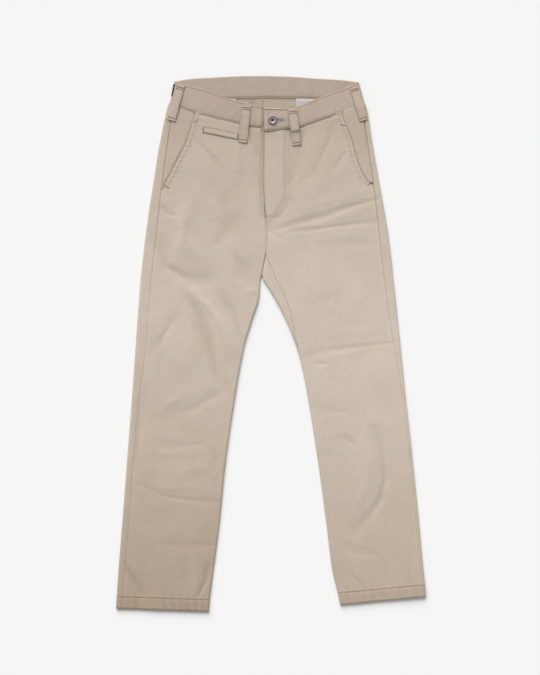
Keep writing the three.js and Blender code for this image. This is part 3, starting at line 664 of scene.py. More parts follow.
def blend(tree, share, first, second):
    """Two colours mixed."""
    return add_node(tree, "ShaderNodeMix", {0: share, 6: first, 7: second}, data_type="RGBA").outputs[2]


def twill_group():
    """Steep diagonal twill lines with the yarns that cross them, from the cut cloth's own
    coordinates in metres. It gives a height in metres and a small shade for each yarn."""
    group, given, out = node_group(
        "twill weave", [("Cut", "Vector"), ("Line Pitch", "Float"), ("Depth", "Float")],
        [("Height", "Float"), ("Shade", "Float")])
    rate = calc(group, "DIVIDE", WAVE_PITCH, given["Line Pitch"])
    scaled = vector_calc(group, "SCALE", {0: given["Cut"], 3: rate})
    steep = mapped(group, scaled, Scale=(-1.5, 0.85, 1.0))
    slanting = stripes(group, steep, "DIAGONAL", scale=1.0, distortion=0.6, detail=1.0)
    yarns = stripes(group, scaled, "Y", scale=1.7, distortion=0.8)
    slub = cloud(group, mapped(group, given["Cut"], Scale=(1.0, 0.12, 1.0)), scale=1500.0)
    woven = calc(group, "MULTIPLY_ADD", yarns, 0.35, slanting)
    rough = calc(group, "MULTIPLY_ADD", slub, 0.5, woven)
    feed(group, out, {"Height": calc(group, "MULTIPLY", rough, given["Depth"]),
                      "Shade": remap(group, rough, (0.3, 1.6), (0.955, 1.03))})
    return group


def washed_group():
    """Washed and worn cotton: cloudy fading, small darker flecks, lighter rubbed ridges, and a
    soft crumple for the bump. Its Tone input holds painted light and shade as well as the cloth's own
    tone, and darkens it towards a warmer colour, as dyed cloth looks in shaded folds."""
    group, given, out = node_group(
        "washed cotton",
        [("Place", "Vector"), ("Base", "Color"), ("Faded", "Color"), ("Deep", "Color"), ("Tone", "Float"),
         ("Wear", "Float"), ("Shade", "Float"), ("Crumple", "Float")],
        [("Color", "Color"), ("Roughness", "Float"), ("Height", "Float")])
    fading = cloud(group, given["Place"], scale=7.0, detail=4.0, roughness=0.55)
    fade = remap(group, fading, (0.42, 0.72), (0.0, 0.42))
    worn = add_node(group, "ShaderNodeMath", {0: fade, 1: given["Wear"]}, operation="ADD", use_clamp=True)
    faded = blend(group, worn.outputs[0], given["Base"], given["Faded"])
    fleck = cloud(group, given["Place"], scale=130.0, detail=5.0, roughness=0.7)
    flecked = blend(group, remap(group, fleck, (0.50, 0.80), (0.0, 0.35)), faded, given["Deep"])
    level = calc(group, "MULTIPLY", given["Tone"], given["Shade"])
    warmth = {"X": level, "Y": calc(group, "POWER", level, 1.18), "Z": calc(group, "POWER", level, 1.45)}
    darkening = add_node(group, "ShaderNodeCombineXYZ", warmth).outputs[0]
    shaded = vector_calc(group, "MULTIPLY", {0: flecked, 1: darkening})
    crumple = cloud(group, given["Place"], scale=42.0, detail=4.0, distortion=0.6)
    feed(group, out, {"Color": shaded, "Roughness": remap(group, fleck, (0.2, 0.8), (0.86, 0.97)),
                      "Height": calc(group, "MULTIPLY", crumple, given["Crumple"])})
    return group


# Distance between a wave texture's slanting lines along X at scale 1
WAVE_PITCH = 0.628
TWILL = twill_group()
WASHED = washed_group()


def cloth_finish(name, base, faded, deep, line_pitch=0.0009, depth=0.00016, crumple=0.0008, sheen=0.08):
    """Cotton cloth: the weave and the washed look over the piece's own shade and wear."""
    material, tree, shader = new_material(name)
    cut = add_node(tree, "ShaderNodeUVMap", uv_map="weave").outputs["UV"]
    place = add_node(tree, "ShaderNodeTexCoord").outputs["Object"]
    tone, wear = [add_node(tree, "ShaderNodeAttribute", attribute_name=layer).outputs["Fac"]
                  for layer in ("tone", "wear")]
    weave = add_node(tree, "ShaderNodeGroup", {"Cut": cut, "Line Pitch": line_pitch, "Depth": depth},
                     node_tree=TWILL).outputs
    looks = {"Place": place, "Base": base, "Faded": faded, "Deep": deep, "Tone": tone, "Wear": wear,
             "Shade": weave["Shade"], "Crumple": crumple}
    washed = add_node(tree, "ShaderNodeGroup", looks, node_tree=WASHED).outputs
    height = calc(tree, "ADD", washed["Height"], weave["Height"])
    bump = add_node(tree, "ShaderNodeBump", {"Height": height, "Distance": 1.0, "Strength": 1.0})
    feed(tree, shader, {"Base Color": washed["Color"], "Roughness": washed["Roughness"],
                        "Normal": bump.outputs["Normal"], "Specular IOR Level": 0.25,
                        "Sheen Weight": sheen, "Sheen Roughness": 0.55})
    return material


face_twill = cloth_finish("chino twill", srgb(213, 197, 180), srgb(225, 210, 195), srgb(187, 168, 150))
inner_twill = cloth_finish("chino twill inside", srgb(206, 188, 171), srgb(215, 198, 181),
                           srgb(186, 167, 149))

# Distances from an edge where the mesh is close: a small edge, a sewn one, one that turns down
# and a hem
FINE_EDGE = (0.0, 0.0004, 0.0010, 0.0022)
SEWN_EDGE = (0.0, 0.0004, 0.0010, 0.0022, 0.0042, 0.0064, 0.0076, 0.0088, 0.0108)
TURNED_EDGE = (0.0, 0.0012, 0.0024, 0.0037, 0.0049, 0.0080)
HEM_EDGE = (0.0, 0.0004, 0.0010, 0.0020, 0.0040, 0.0070, 0.0100, 0.0130, 0.0160, 0.0190, 0.0210, 0.0222,
            0.0232, 0.0242, 0.0254, 0.0270, 0.0300)


def pocket_inset(side, row):
    """Where a row of the front crosses the slanted pocket edge."""
    edge = POCKET_EDGE[side]
    step = (row.inner.x - row.outer.x) / row.length
    s = 0.0
    for _ in range(8):
        at = on_row(row, s, WAIST_SEAM[side])
        if at.y < edge[0][0]:
            return 0.0
        s += (along(edge, at.y) - at.x) / step
    return s


def front_ends(side, row):
    """How far in from the inner edge a front stops, and how far it turns round that edge."""
    y = row.inner.y
    if side == "right":
        if y > CROTCH:
            return -UNDERLAP * smooth(FLY_BOTTOM + 0.022, FLY_BOTTOM + 0.044, y), 0.0
        return 0.0, math.pi / 2 * smooth(CROTCH + 0.004, CROTCH - 0.014, y)
    turned = smooth(0.004, -0.026, y)
    beside_fork = (RADIUS + SEAM_GAP) * smooth(CROTCH + 0.004, CROTCH - 0.008, y)
    inset = -LAP_OVER
    if y < CROTCH + 0.004:
        inset = max(along(LEFT_INSEAM, y) + SEAM_GAP / 2, beside_fork)
    return inset * (1 - turned), math.pi / 2 * turned


def hem_doubling(rows, length):
    """Marks the rows where the turned-up hem doubles the wall."""
    return lambda i, j: float(rows[j] > length - HEM_DEPTH)


def front_panel(side):
    """One front, in rows down the leg. Each row's path runs from the side seam, or the pocket's
    mouth, to the inner edge, where it stops at the fly or seam or turns down round the edge."""
    row_at, length = leg_rows(side, STATIONS[side], CENTRE_FRONT)
    rows = marks(length, PANEL_ROWS, last=HEM_EDGE)
    paths = {}

    def path(j):
        if j not in paths:
            row = row_at(rows[j])
            start = max(row.seam + SEAM_GAP / 2, pocket_inset(side, row))
            inset, curl = front_ends(side, row)
            flat_to = row.length - inset - RADIUS * math.sin(curl)
            total = flat_to - start + RADIUS * curl
            paths[j] = row, start, flat_to, total, marks(total, PANEL_COLUMNS, SEWN_EDGE, TURNED_EDGE)
        return paths[j]

    def shape(i, j):
        row, start, flat_to, total, steps = path(j)
        t = steps[i]
        turned = total - (flat_to - start)
        angle = max(t - (flat_to - start), 0.0) / RADIUS if turned > 1e-6 else 0.0
        s = min(start + t, flat_to)
        at = on_row(row, s + RADIUS * math.sin(angle), WAIST_SEAM[side])
        x, y = on_row(row, s, WAIST_SEAM[side])
        at_pocket, at_fly, cut_end = row.seam < start - 0.002, y > FLY_BOTTOM, turned < 1e-4
        crease = crease_height(side, x, y)
        height = front_height(side, x, y, crease) + hem_height(side, x, row.to_hem)
        height -= rolled(t, FREE_ROLL if at_pocket else SEAM_ROLL)
        if cut_end:
            height -= rolled(total - t, FREE_ROLL if at_fly else SEAM_ROLL)
        z = mix(height, RADIUS, 1 - math.cos(angle)) if angle > 0 else height
        past_seam = 1 - smooth(0.0, 0.003, along(WAIST_SEAM[side], at.x) - at.y)
        z -= BAND_DIP * past_seam * (row.bend > 0)
        wear = RIDGE_WEAR * max(crease, 0.0) + 0.3 * bell(t - 0.003, 0.0022)
        wear += 0.2 * math.exp(-row.to_hem / 0.002)
        # Painted light falling off down the leg, and painted shade in the creases' hollows.
        tone = along(PAINTED_LIGHT_FALLOFF[side], y) * (1 + HOLLOW_PAINTED_SHADE * min(crease, 0.0))
        # Painted shade in the hem's puckers and stitching, and painted shade and soil beside the seam.
        tone *= hem_shade(side, at.x, row.to_hem) * seam_shade_and_soil(t, y)
        # Painted shadow along the raised fly lap's cut edge, and painted shade and soil at the other cut
        # edges.
        if cut_end and at_fly:
            tone *= dark_line(total - t, at=0, width=0.0012, depth=0.46)
        elif cut_end:
            tone *= seam_shade_and_soil(total - t, 0.0)
        # Painted shadow of the fly lap on the right front beside it.
        if side == "right" and at_fly:
            off = along(CENTRE_FRONT, y) - x
            tone *= dark_line(off, at=0.0020, width=0.0022, depth=0.15 * smooth(0.35, 0.40, y))
            tone *= dark_line(off, at=0.0030, width=0.0030, depth=0.10)
        # Painted shade along the pocket mouth's inner line of stitching.
        if at_pocket:
            tone *= dark_line(t, at=0.0078, width=0.0011, depth=0.07)
        return (at.x, at.y, z), (start + t, rows[j]), tone, wear

    across = len(path(0)[-1]) - 1
    return cloth_piece(f"front_panel_{side}", across, len(rows) - 1, shape, [face_twill, inner_twill], CLOTH,
                       [f"front_{side}"], thick=hem_doubling(rows, length))


fronts = both(front_panel)

# Backs
# Two back panels of the same twill. Each runs flat under the leg and folds up round both edges,
# so its seam with the front shows on the upper side.

# How far a back runs on under the front at their seam, and how far it dips there
TUCK = 0.005
TUCK_DIP = 0.0017
CENTRE_BACK = [(0.133, -0.0176), (0.172, -0.0108), (0.196, -0.0088), (0.238, -0.0096), (0.310, -0.014),
               (0.403, -0.015), (0.479, -0.016)]
# The first two stations of the backs, which stand in for those of the fronts
BACK_TOP = {
    "right": [(-0.196, 0.466, -0.016, 0.478, 0.008), (-0.215, 0.398, -0.015, 0.402, 0.015)],
    "left": [(0.184, 0.461, -0.016, 0.478, 0.008), (0.197, 0.394, -0.015, 0.402, 0.009)],
}
# The back pocket's welt: size, middle on X from the centre seam and on Y, turn, and its bed
WELT = SimpleNamespace(width=0.125, height=0.011, x=0.112, y=0.396, turn=math.radians(4), bed=0.0013)
DART = SimpleNamespace(x=0.078, bottom=0.415, depth=0.0007)
CENTRE_GROOVE = 0.0008
CROTCH_CURL = 0.015


def on_welt(side, x, y):
    """A point's place along and across the back pocket's welt, from the middle of the welt."""
    sign = OUTWARD[side]
    dx, dy = x - sign * WELT.x - along(CENTRE_BACK, WELT.y), y - WELT.y
    cos, sin = math.cos(WELT.turn), sign * math.sin(WELT.turn)
    return dx * cos - dy * sin, dx * sin + dy * cos


def under_height(side, x, y):
    """The underside lies flat, apart from soft hollows, the dart, the welt's bed and the seam."""
    dent = max(crease_height("under", x, y), 0.0)
    if y < CROTCH:
        return dent
    far_along, far_across = on_welt(side, x, y)
    bed = WELT.bed
    for far, size in ((far_along, WELT.width), (far_across, WELT.height)):
        bed *= smooth(size / 2 + 0.004, size / 2, abs(far))
    off_seam = abs(x - along(CENTRE_BACK, y))
    dart = DART.depth * bell(off_seam - DART.x, 0.003) * smooth(DART.bottom, DART.bottom + 0.02, y)
    return waist_lift(y) + dent + bed + dart + CENTRE_GROOVE * bell(off_seam, 0.002)


def back_turn(side, row):
    """How far a back turns round its inner edge, the lip beyond the turn, and its tuck."""
    y = row.inner.y
    if y > CROTCH:
        return math.pi / 2 * clamp01((CROTCH + CROTCH_CURL - y) / CROTCH_CURL), 0.0, 0.0
    overhang = along(LEFT_INSEAM, y) if side == "left" else 0.0
    if overhang < RADIUS:
        return math.pi - math.asin(1 - overhang / RADIUS), 0.0, 0.0
    return math.pi, overhang - RADIUS, TUCK * smooth(RADIUS, RADIUS + 0.004, overhang)


def back_panel(side):
    """One back, in rows down the leg. Each row's path starts under the front at the side seam,
    turns round the outer edge, runs under the leg and turns up round the inner edge."""
    row_at, length = leg_rows(side, BACK_TOP[side] + STATIONS[side][2:], CENTRE_BACK)
    rows = marks(length, PANEL_ROWS, last=HEM_EDGE)
    paths = {}

    def path(j):
        if j not in paths:
            row = row_at(rows[j])
            lip = row.seam + TUCK - RADIUS
            outer = lip + math.pi * RADIUS
            curl, inner_lip, tuck = back_turn(side, row)
            end = row.length if curl < 1e-4 else row.length - RADIUS * math.sin(min(curl, math.pi / 2))
            flat = end - RADIUS
            inner = RADIUS * curl + inner_lip + tuck
            total = outer + flat + inner
            reach = max(inner, 0.012)
            steps = spaced(0.0, outer, 20)[:-1] + spaced(outer, total - reach, PANEL_COLUMNS)[:-1]
            steps += spaced(total - reach, total, 22)
            paths[j] = SimpleNamespace(row=row, lip=lip, outer=outer, curl=curl, inner_lip=inner_lip,
                                       flat=flat, steps=steps)
        return paths[j]

    def shape(i, j):
        p = path(j)
        t = p.steps[i]
        row = p.row
        seam_line = WAIST_SEAM["back"]
        if t < p.lip:
            s, share = RADIUS + p.lip - t, 1.0
            into_front = s - row.seam
            seam_line = WAIST_SEAM[side]
        elif t < p.outer:
            angle = math.pi - (t - p.lip) / RADIUS
            s, share = RADIUS - RADIUS * math.sin(angle), (1 - math.cos(angle)) / 2
            into_front = -1.0
        elif t < p.outer + p.flat or p.curl < 1e-4:
            s, share, into_front = RADIUS + t - p.outer, 0.0, -1.0
        else:
            past = t - p.outer - p.flat
            angle = min(past / RADIUS, p.curl)
            lip = max(past - RADIUS * p.curl, 0.0)
            s = RADIUS + p.flat + RADIUS * math.sin(angle) - lip
            share = (1 - math.cos(angle)) / 2
            into_front = lip - p.inner_lip if p.curl > 3.1 and p.inner_lip > 0.0 else -1.0
        at = on_row(row, s, seam_line)
        if share > 0.5 and row.bend > 0:
            back_y, front_y = [on_row(row, s, WAIST_SEAM[part]).y for part in ("back", side)]
            at.y = mix(back_y, front_y, 2 * share - 1)
        top = FLAT_HEIGHT + waist_lift(at.y) + hem_height(side, at.x, row.to_hem)
        crease = crease_height(side, at.x, at.y) if share > 0 else 0.0
        top += crease + unevenness(at.x, at.y)
        low = under_height(side, at.x, at.y) if share < 1 else 0.0
        low += 0.0010 * (1 - smooth(0.0, HEM_ROLL, row.to_hem))
        z = mix(low, top, share) - TUCK_DIP * smooth(-0.0002, 0.0012, into_front)
        # Painted light falling off down the leg, and painted shade in the creases' hollows.
        tone = along(PAINTED_LIGHT_FALLOFF[side], at.y) * (1 + HOLLOW_PAINTED_SHADE * min(crease, 0.0))
        tone *= hem_shade(side, at.x, row.to_hem)
        # Painted shade: dark slits where folds on the inner side, seen in the waist opening, would shade it.
        if share == 0 and at.y > 0.44:
            tone *= 1 + 260 * crease_height("inside", at.x, at.y)
        # Painted shade and soil where the back tucks under the front.
        tone *= seam_shade_and_soil(into_front, at.y)
        wear = RIDGE_WEAR * max(crease, 0.0) + 0.25 * bell(s - 0.001, 0.003)
        return (at.x, at.y, z), (t, rows[j]), tone, wear

    across = len(path(0).steps) - 1
    return cloth_piece(f"back_panel_{side}", across, len(rows) - 1, shape, [face_twill, inner_twill], CLOTH,
                       [f"back_{side}"], face_up=False, thick=hem_doubling(rows, length))


backs = both(back_panel)

# Pocket facings
# A piece of the face cloth fills each slanted pocket mouth. It is sewn into the side seam and
# dips under the edge of the front.
FACING_LOW = 0.0031
FACING_BOTTOM = {"right": 0.300, "left": 0.312}


def seam_line_of(side):
    """The side seam on the upper side, as y and x."""
    row_at, length = leg_rows(side, STATIONS[side], CENTRE_FRONT)
    points = []
    for distance in spaced(0.0, 0.4 * length, 40):
        row = row_at(distance)
        at = row.outer.lerp(row.inner, (row.seam + SEAM_GAP) / row.length)
        points.append((at.y, at.x))
    return sorted(points)


def pocket_facing(side):
    seam = seam_line_of(side)
    top, bottom = 0.462, FACING_BOTTOM[side]
    rows, across = 52, 26

    def shape(i, j):
        row_y = mix(top, bottom, j / rows)
        start = along(seam, row_y)
        mouth = abs(along(POCKET_EDGE[side], row_y) - start)
        off = (mouth + 0.014) * (i / across) ** 1.2
        x = start - OUTWARD[side] * off
        y = row_y + (1 - j / rows) ** 2 * (along(WAIST_SEAM[side], x) + UNDER_BAND - top)
        high = FLAT_HEIGHT + unevenness(x, y)
        under = smooth(mouth - 0.004, mouth + 0.002, off) if mouth > 0.002 else 1.0
        z = mix(high, FACING_LOW + CLOTH, under) + waist_lift(y) - rolled(off)
        z += 0.0004 * math.sin(40 * off + 33 * y) * smooth(0.0, 0.02, mouth)
        # Painted light falling off down the leg, painted shade where the facing dips under the front's edge,
        # and painted shade and soil at the side seam.
        tone = along(PAINTED_LIGHT_FALLOFF[side], y) * 0.94 * (1 - 0.16 * under) * seam_shade_and_soil(off, y)
        return (x, y, z), (off, y), tone, 0.2 * math.exp(-off / 0.002)

    return cloth_piece(f"facing_{side}", across, rows, shape, [face_twill, inner_twill], CLOTH,
                       [f"pocket_facing_{side}"])


facings = both(pocket_facing)

# Pocket bags
# White pocketing cloth, thin and plain woven. The back bags show in the waist opening, and the
# front bags hang hidden inside the fronts.
pocketing = cloth_finish("white pocketing", srgb(197, 189, 188), srgb(208, 202, 201), srgb(180, 172, 171),
                         line_pitch=0.0006, depth=0.00007, crumple=0.0010, sheen=0.05)
BAG_CLOTH = 0.0006
# The back bags lie on the backs in soft waves. Their inner edges are given on X
BACK_BAG_LOW = 0.0020
BACK_BAG_WAVE = 0.0006
BACK_BAG_NEAR = {"right": 0.068, "left": 0.049}


def back_bag(side):
    near, far, top, bottom = BACK_BAG_NEAR[side], 0.176, 0.474, 0.296
    rows, across = 44, 28

    def shape(i, j):
        row_y = mix(top, bottom, j / rows)
        rounded = 0.012 * (1 - smooth(bottom, bottom + 0.034, row_y))
        x = OUTWARD[side] * mix(near + rounded, far - rounded, i / across)
        y = row_y + (1 - j / rows) ** 4 * (along(WAIST_SEAM["back"], x) - SEAM_GAP - top)
        wave = BACK_BAG_WAVE * math.sin(60 * x + 25 * y) * smooth(0.0, 0.3, j / rows)
        z = BACK_BAG_LOW + waist_lift(y) + BAG_CLOTH + SEAM_GAP + wave
        return (x, y, z), (x, y), 1.0, 0.0

    return cloth_piece(f"back_bag_{side}", across, rows, shape, [pocketing], BAG_CLOTH,
                       [f"back_pocket_bag_{side}"])


def front_bag(side):
    sign = -OUTWARD[side]
    top, bottom = 0.418, 0.232
    rows, across = 40, 24

    def shape(i, j):
        y = mix(top, bottom, j / rows)
        start = along(POCKET_EDGE[side], y) + sign * 0.030
        end = -sign * (0.084 + 0.014 * (1 - smooth(bottom, bottom + 0.040, y)))
        x = mix(start, end, i / across)
        z = min(FACING_LOW + waist_lift(y) + BAG_CLOTH, front_height(side, x, y) - CLOTH - 0.0012)
        return (x, y, z), (x, y), 1.0, 0.0

    return cloth_piece(f"front_bag_{side}", across, rows, shape, [pocketing], BAG_CLOTH,
                       [f"front_pocket_bag_{side}"])


back_bags = both(back_bag)
front_bags = both(front_bag)

# Waistband
# Three stretches of doubled and stiffened twill: the back one, whose inner side shows, the right
# front with the underlap, and the left front, which ends in the buttoned tab.
BAND_HEIGHT = 0.0067
BAND_WALL = 0.0024
BAND_RADIUS = BAND_HEIGHT / 2
BAND_EDGE = {
    "right": [(-0.188, 0.511), (-0.167, 0.504), (-0.126, 0.494), (-0.088, 0.4795), (-0.058, 0.4705),
              (-0.037, 0.4655), (-0.015, 0.461), (0.026, 0.458)],
    "left": [(-0.014, 0.459), (0.008, 0.458), (0.032, 0.458), (0.053, 0.462), (0.082, 0.474),
             (0.115, 0.487), (0.151, 0.500), (0.171, 0.510)],
    "back": [(-0.188, 0.511), (-0.158, 0.516), (-0.109, 0.519), (-0.041, 0.522), (0.028, 0.521),
             (0.086, 0.517), (0.135, 0.514), (0.171, 0.510)],
}
# Middle of the button on X and Y, and the slit beside it
BUTTON = Vector((0.003, 0.4355))
HOLE_LENGTH = 0.023
HOLE_HALF = 0.0012
HOLE_FACE = 4e-6
TAB_RISE = 0.0029
# The band's twill is a little deeper in colour
band_twill = cloth_finish("waistband twill", srgb(197, 179, 163), srgb(214, 197, 181), srgb(171, 152, 135),
                          crumple=0.0011)


def tab_raise(x):
    """The buttoned tab lies on the underlap and comes down to the band beyond it."""
    return TAB_RISE * (1 - smooth(0.036, 0.066, x))


def band_height(side, x, y):
    """Height of the waistband's outer face, with the soft waves of a band that was washed."""
    waves = ripple(x, y, (0.0009, 38, 22, 1.3), (0.0005, 90, 60, 4.1))
    return BAND_HEIGHT + waist_lift(y) + (tab_raise(x) if side == "left" else 0.0) + waves


def on_band(side, share, down):
    """A point on the waistband: share runs along its length, down from its edge to its seam. Its
    right end is drawn in a little beside the patch."""
    at = Vector((0.0, 0.0))
    for line, weight in ((BAND_EDGE[side], 1 - down), (WAIST_SEAM[side], down)):
        x = mix(line[0][0], line[-1][0], share)
        at += Vector((x, along(line, x))) * weight
    if side != "left":
        beside_patch = smooth(0.0, 0.14, down) * (1 - smooth(0.60, 0.78, down))
        at.x += DRAWN_IN * beside_patch * max(0.0, 1 - share / 0.06)
    return at


# Rows across the band, as shares of its depth, closer together at its edge and its seam
BAND_ROWS = (0.0, 0.006, 0.016, 0.03, 0.055, 0.11, 0.18, 0.26, 0.34, 0.42, 0.486, 0.514, 0.58, 0.66, 0.74,
             0.82, 0.88, 0.905, 0.92, 0.935, 0.955, 0.97, 0.984, 0.994, 1.0)
BAND_DEEP = 0.045
# Seams across the inner side on X, how far its right end is drawn in, and the tab's edge on X
INNER_SEAMS = (-0.0542, -0.0328, 0.0035)
DRAWN_IN = 0.0034
TAB_SLIT = -0.0156


def front_band(side):
    """A front stretch of the band, which turns down at its fold beside the back and is cut at
    the fly. The left one gets its buttonhole."""
    whole = BAND_EDGE[side][-1][0] - BAND_EDGE[side][0][0]
    arc = BAND_RADIUS * math.pi / 2
    path = whole + arc - BAND_RADIUS
    turn = (0.0, 0.0011, 0.0022, 0.0033, 0.0043, 0.0053, 0.0080)
    cut = (0.0, 0.0003, 0.0008, 0.0020, 0.0040)
    hole_from, hole_to = BUTTON.x, BUTTON.x + HOLE_LENGTH
    if side == "right":
        steps = marks(path, 74, turn, cut)
    else:
        before = marks(hole_from - BAND_EDGE["left"][0][0], 6, cut)
        within = spaced(before[-1], before[-1] + HOLE_LENGTH, 9)[1:]
        rest = marks(path - within[-1], 52, last=turn)
        steps = before + within + [within[-1] + step for step in rest[1:]]

    def shape(i, j):
        down, t = BAND_ROWS[j], steps[i]
        from_edge, from_seam = down * BAND_DEEP, (1 - down) * BAND_DEEP
        nearest = min(from_edge, from_seam)
        from_fold, from_end = (t, path - t) if side == "right" else (path - t, t)
        drop = 0.0
        if from_fold < arc:
            angle = from_fold / BAND_RADIUS
            from_fold = BAND_RADIUS * (1 - math.cos(angle))
            drop = BAND_RADIUS * (1 - math.sin(angle))
        else:
            from_fold -= arc - BAND_RADIUS
        share = from_fold / whole if side == "right" else 1 - from_fold / whole
        at = on_band(side, share, down)
        height = band_height(side, at.x, at.y) - drop
        height -= rolled(from_edge, 0.0013) + rolled(from_seam)
        height -= rolled(from_end) if drop == 0.0 else 0.0
        at_seam = math.exp(-from_seam / 0.004)
        pinch = bell(nearest - 0.003, 0.0016)
        height -= 0.0007 * at_seam + 0.00045 * pinch
        # Painted shade in the groove along the stitching, and a painted shadow line along the lower seam.
        tone = (1.0 - 0.16 * pinch) * dark_line(from_seam, at=0, width=0.0010, depth=0.36)
        if side == "left":
            tone *= 1 + 0.07 * (1 - smooth(0.0062, 0.0074, from_end)) * smooth(0.0004, 0.0014, from_end)
            # Painted shade along the tab's box of stitching, and a painted shadow at its cut end.
            tone *= dark_line(from_end, at=0.0082, width=0.0010, depth=0.14)
            tone *= dark_line(from_end, at=0, width=0.0008, depth=0.30)
            height -= 0.0008 * at_seam * (1 - smooth(0.036, 0.06, at.x))
        else:
            # Painted shade in the slit beside the tab.
            height -= 0.0014 * bell(at.x - TAB_SLIT, 0.0016)
            tone *= dark_line(at.x, at=TAB_SLIT, width=0.0016, depth=0.46)
        return (at.x, at.y, height), (t, from_edge), tone, 0.5 * math.exp(-nearest / 0.0016)

    piece = cloth_piece(f"band_front_{side}", len(steps) - 1, len(BAND_ROWS) - 1, shape,
                        [band_twill, inner_twill], BAND_WALL, [f"waistband_front_{side}"])
    if side == "left":
        bm = bmesh.new()
        bm.from_mesh(piece.data)
        centres = [(face, face.calc_center_median()) for face in bm.faces]
        slit = [face for face, at in centres if hole_from < at.x < hole_to
                and abs(at.y - BUTTON.y) < HOLE_HALF and face.calc_area() < HOLE_FACE]
        bmesh.ops.delete(bm, geom=slit, context="FACES")
        bm.to_mesh(piece.data)
        bm.free()
    return piece


def back_band():
    """The back stretch of the band, whose two ends turn up to meet the fronts."""
    whole = BAND_EDGE["back"][-1][0] - BAND_EDGE["back"][0][0]
    inner_radius = BAND_RADIUS - BAND_WALL
    arc = inner_radius * math.pi / 2
    path = whole - 2 * (BAND_RADIUS - arc)
    turn = (0.0, 0.0005, 0.0010, 0.0015, 0.0025, 0.0050)
    steps = marks(path, 120, turn, turn)

    def shape(i, j):
        down, t = BAND_ROWS[j], steps[i]
        from_edge, from_seam = down * BAND_DEEP, (1 - down) * BAND_DEEP
        from_end = min(t, path - t)
        rise = 0.0
        if from_end < arc:
            angle = from_end / inner_radius
            from_end = BAND_RADIUS - inner_radius * math.cos(angle)
            rise = inner_radius * (1 - math.sin(angle))
        else:
            from_end += BAND_RADIUS - arc
        share = from_end / whole if t < path / 2 else 1 - from_end / whole
        at = on_band("back", clamp01(share), down)
        z = waist_lift(at.y) + BAND_WALL + rise
        z += ripple(at.x, at.y, (0.0008, 38, 20, 5.2), (0.0004, 110, 60, 8.2))
        z -= rolled(from_edge, 0.0012) + rolled(from_seam)
        pinch = bell(from_seam - 0.003, 0.0018)
        seams = sum(bell(at.x - place, 0.0016) for place in INNER_SEAMS)
        z -= 0.0005 * pinch + 0.0003 * seams
        # Painted shade in the groove along the stitching, along the line of stitching and in the seams
        # across the inner side.
        tone = 0.97 - 0.08 * pinch - 0.14 * bell(from_seam - 0.0036, 0.0007) - 0.05 * clamp01(seams)
        # Painted shadow along the seam row at the lower edge.
        tone *= 1 - 0.4 * (down > 0.999)
        return (at.x, at.y, z), (t, from_edge), tone, 0.3 * math.exp(-from_edge / 0.0016)

    return cloth_piece("band_back", len(steps) - 1, len(BAND_ROWS) - 1, shape, [band_twill], BAND_WALL,
                       ["waistband_back"])


bands = [front_band("right"), front_band("left"), back_band()]

# Fly shield and zip
# The shield is a doubled strip behind the closed zip. Both lie hidden under the fly lap.
zip_cloth = cloth_finish("zip tape cloth", srgb(186, 167, 143), srgb(196, 178, 155), srgb(160, 141, 118),
                         line_pitch=0.0012, depth=0.0002, crumple=0.0002)


def plain_sheet(name, corners, finish, node, level=0.0, wall=0.0011, across=12, rows=40):
    """A small flat sheet between four corners: upper left, upper right, lower left, lower right.
    The level is the height of its underside."""
    upper_left, upper_right, lower_left, lower_right = [Vector(corner) for corner in corners]
    width = (upper_right - upper_left).length
    length = (lower_left - upper_left).length
    columns = marks(width, across, FINE_EDGE, FINE_EDGE)
    lines = marks(length, rows, FINE_EDGE, FINE_EDGE)

    def shape(i, j):
        share, down = columns[i] / width, lines[j] / length
        at = upper_left.lerp(upper_right, share).lerp(lower_left.lerp(lower_right, share), down)
        from_edge = min(columns[i], width - columns[i], lines[j], length - lines[j])
        z = level + wall - rolled(from_edge, wall * 0.45)
        return (at.x, at.y, z), (at.x, at.y), 1.0, 0.3 * math.exp(-from_edge / 0.0015)

    return cloth_piece(name, len(columns) - 1, len(lines) - 1, shape, [finish], wall * 0.95, [node])


def upright(left, right, top, bottom):
    """The corners of a sheet that lies square to the garment."""
    return [(left, top), (right, top), (left, bottom), (right, bottom)]


shield = plain_sheet("shield_behind_fly", upright(left=-0.024, right=0.017, top=0.404, bottom=0.238),
                     inner_twill, "fly_shield", level=0.0019, wall=0.0012)
zip_strip = plain_sheet("zip_strip", upright(left=-0.008, right=0.022, top=0.404, bottom=0.250),
                        zip_cloth, "zip", level=0.0034, wall=0.0009)

# Belt loops
# Strips of doubled twill, folded under and bar-tacked at both ends. They stand a little off the
# waistband between their ends.
LOOP_WIDTH = 0.018
LOOP_WALL = 0.0014
LOOP_EDGE = (0.0, 0.0003, 0.0008, 0.0018)
# Side, middle of the upper end, middle of the lower end
LOOPS = {
    "belt_loop_front_right": ("right", Vector((-0.047, 0.465)), Vector((-0.055, 0.391))),
    "belt_loop_front_left": ("left", Vector((0.0415, 0.457)), Vector((0.051, 0.386))),
    "belt_loop_side_right": ("right", Vector((-0.1755, 0.504)), Vector((-0.1945, 0.434))),
    "belt_loop_side_left": ("left", Vector((0.1615, 0.500)), Vector((0.1815, 0.434))),
}
loop_twill = cloth_finish("belt loop twill", srgb(203, 185, 168), srgb(219, 203, 186), srgb(176, 157, 140),
                          crumple=0.0006)

# Outer edge of the garment beside the waist, as y and x
WAIST_OUTLINE = {
    "right": [(0.398, -0.215), (0.466, -0.196), (0.511, -0.188)],
    "left": [(0.394, 0.197), (0.461, 0.184), (0.510, 0.171)],
}


def over_the_edge(side, x, y):
    """How far a side loop bends down where it passes over the garment's rounded edge."""
    inward = (along(WAIST_OUTLINE[side], y) - x) * OUTWARD[side]
    return min(max(0.0045 - inward, 0.0) ** 2 / 0.007, 0.0042)


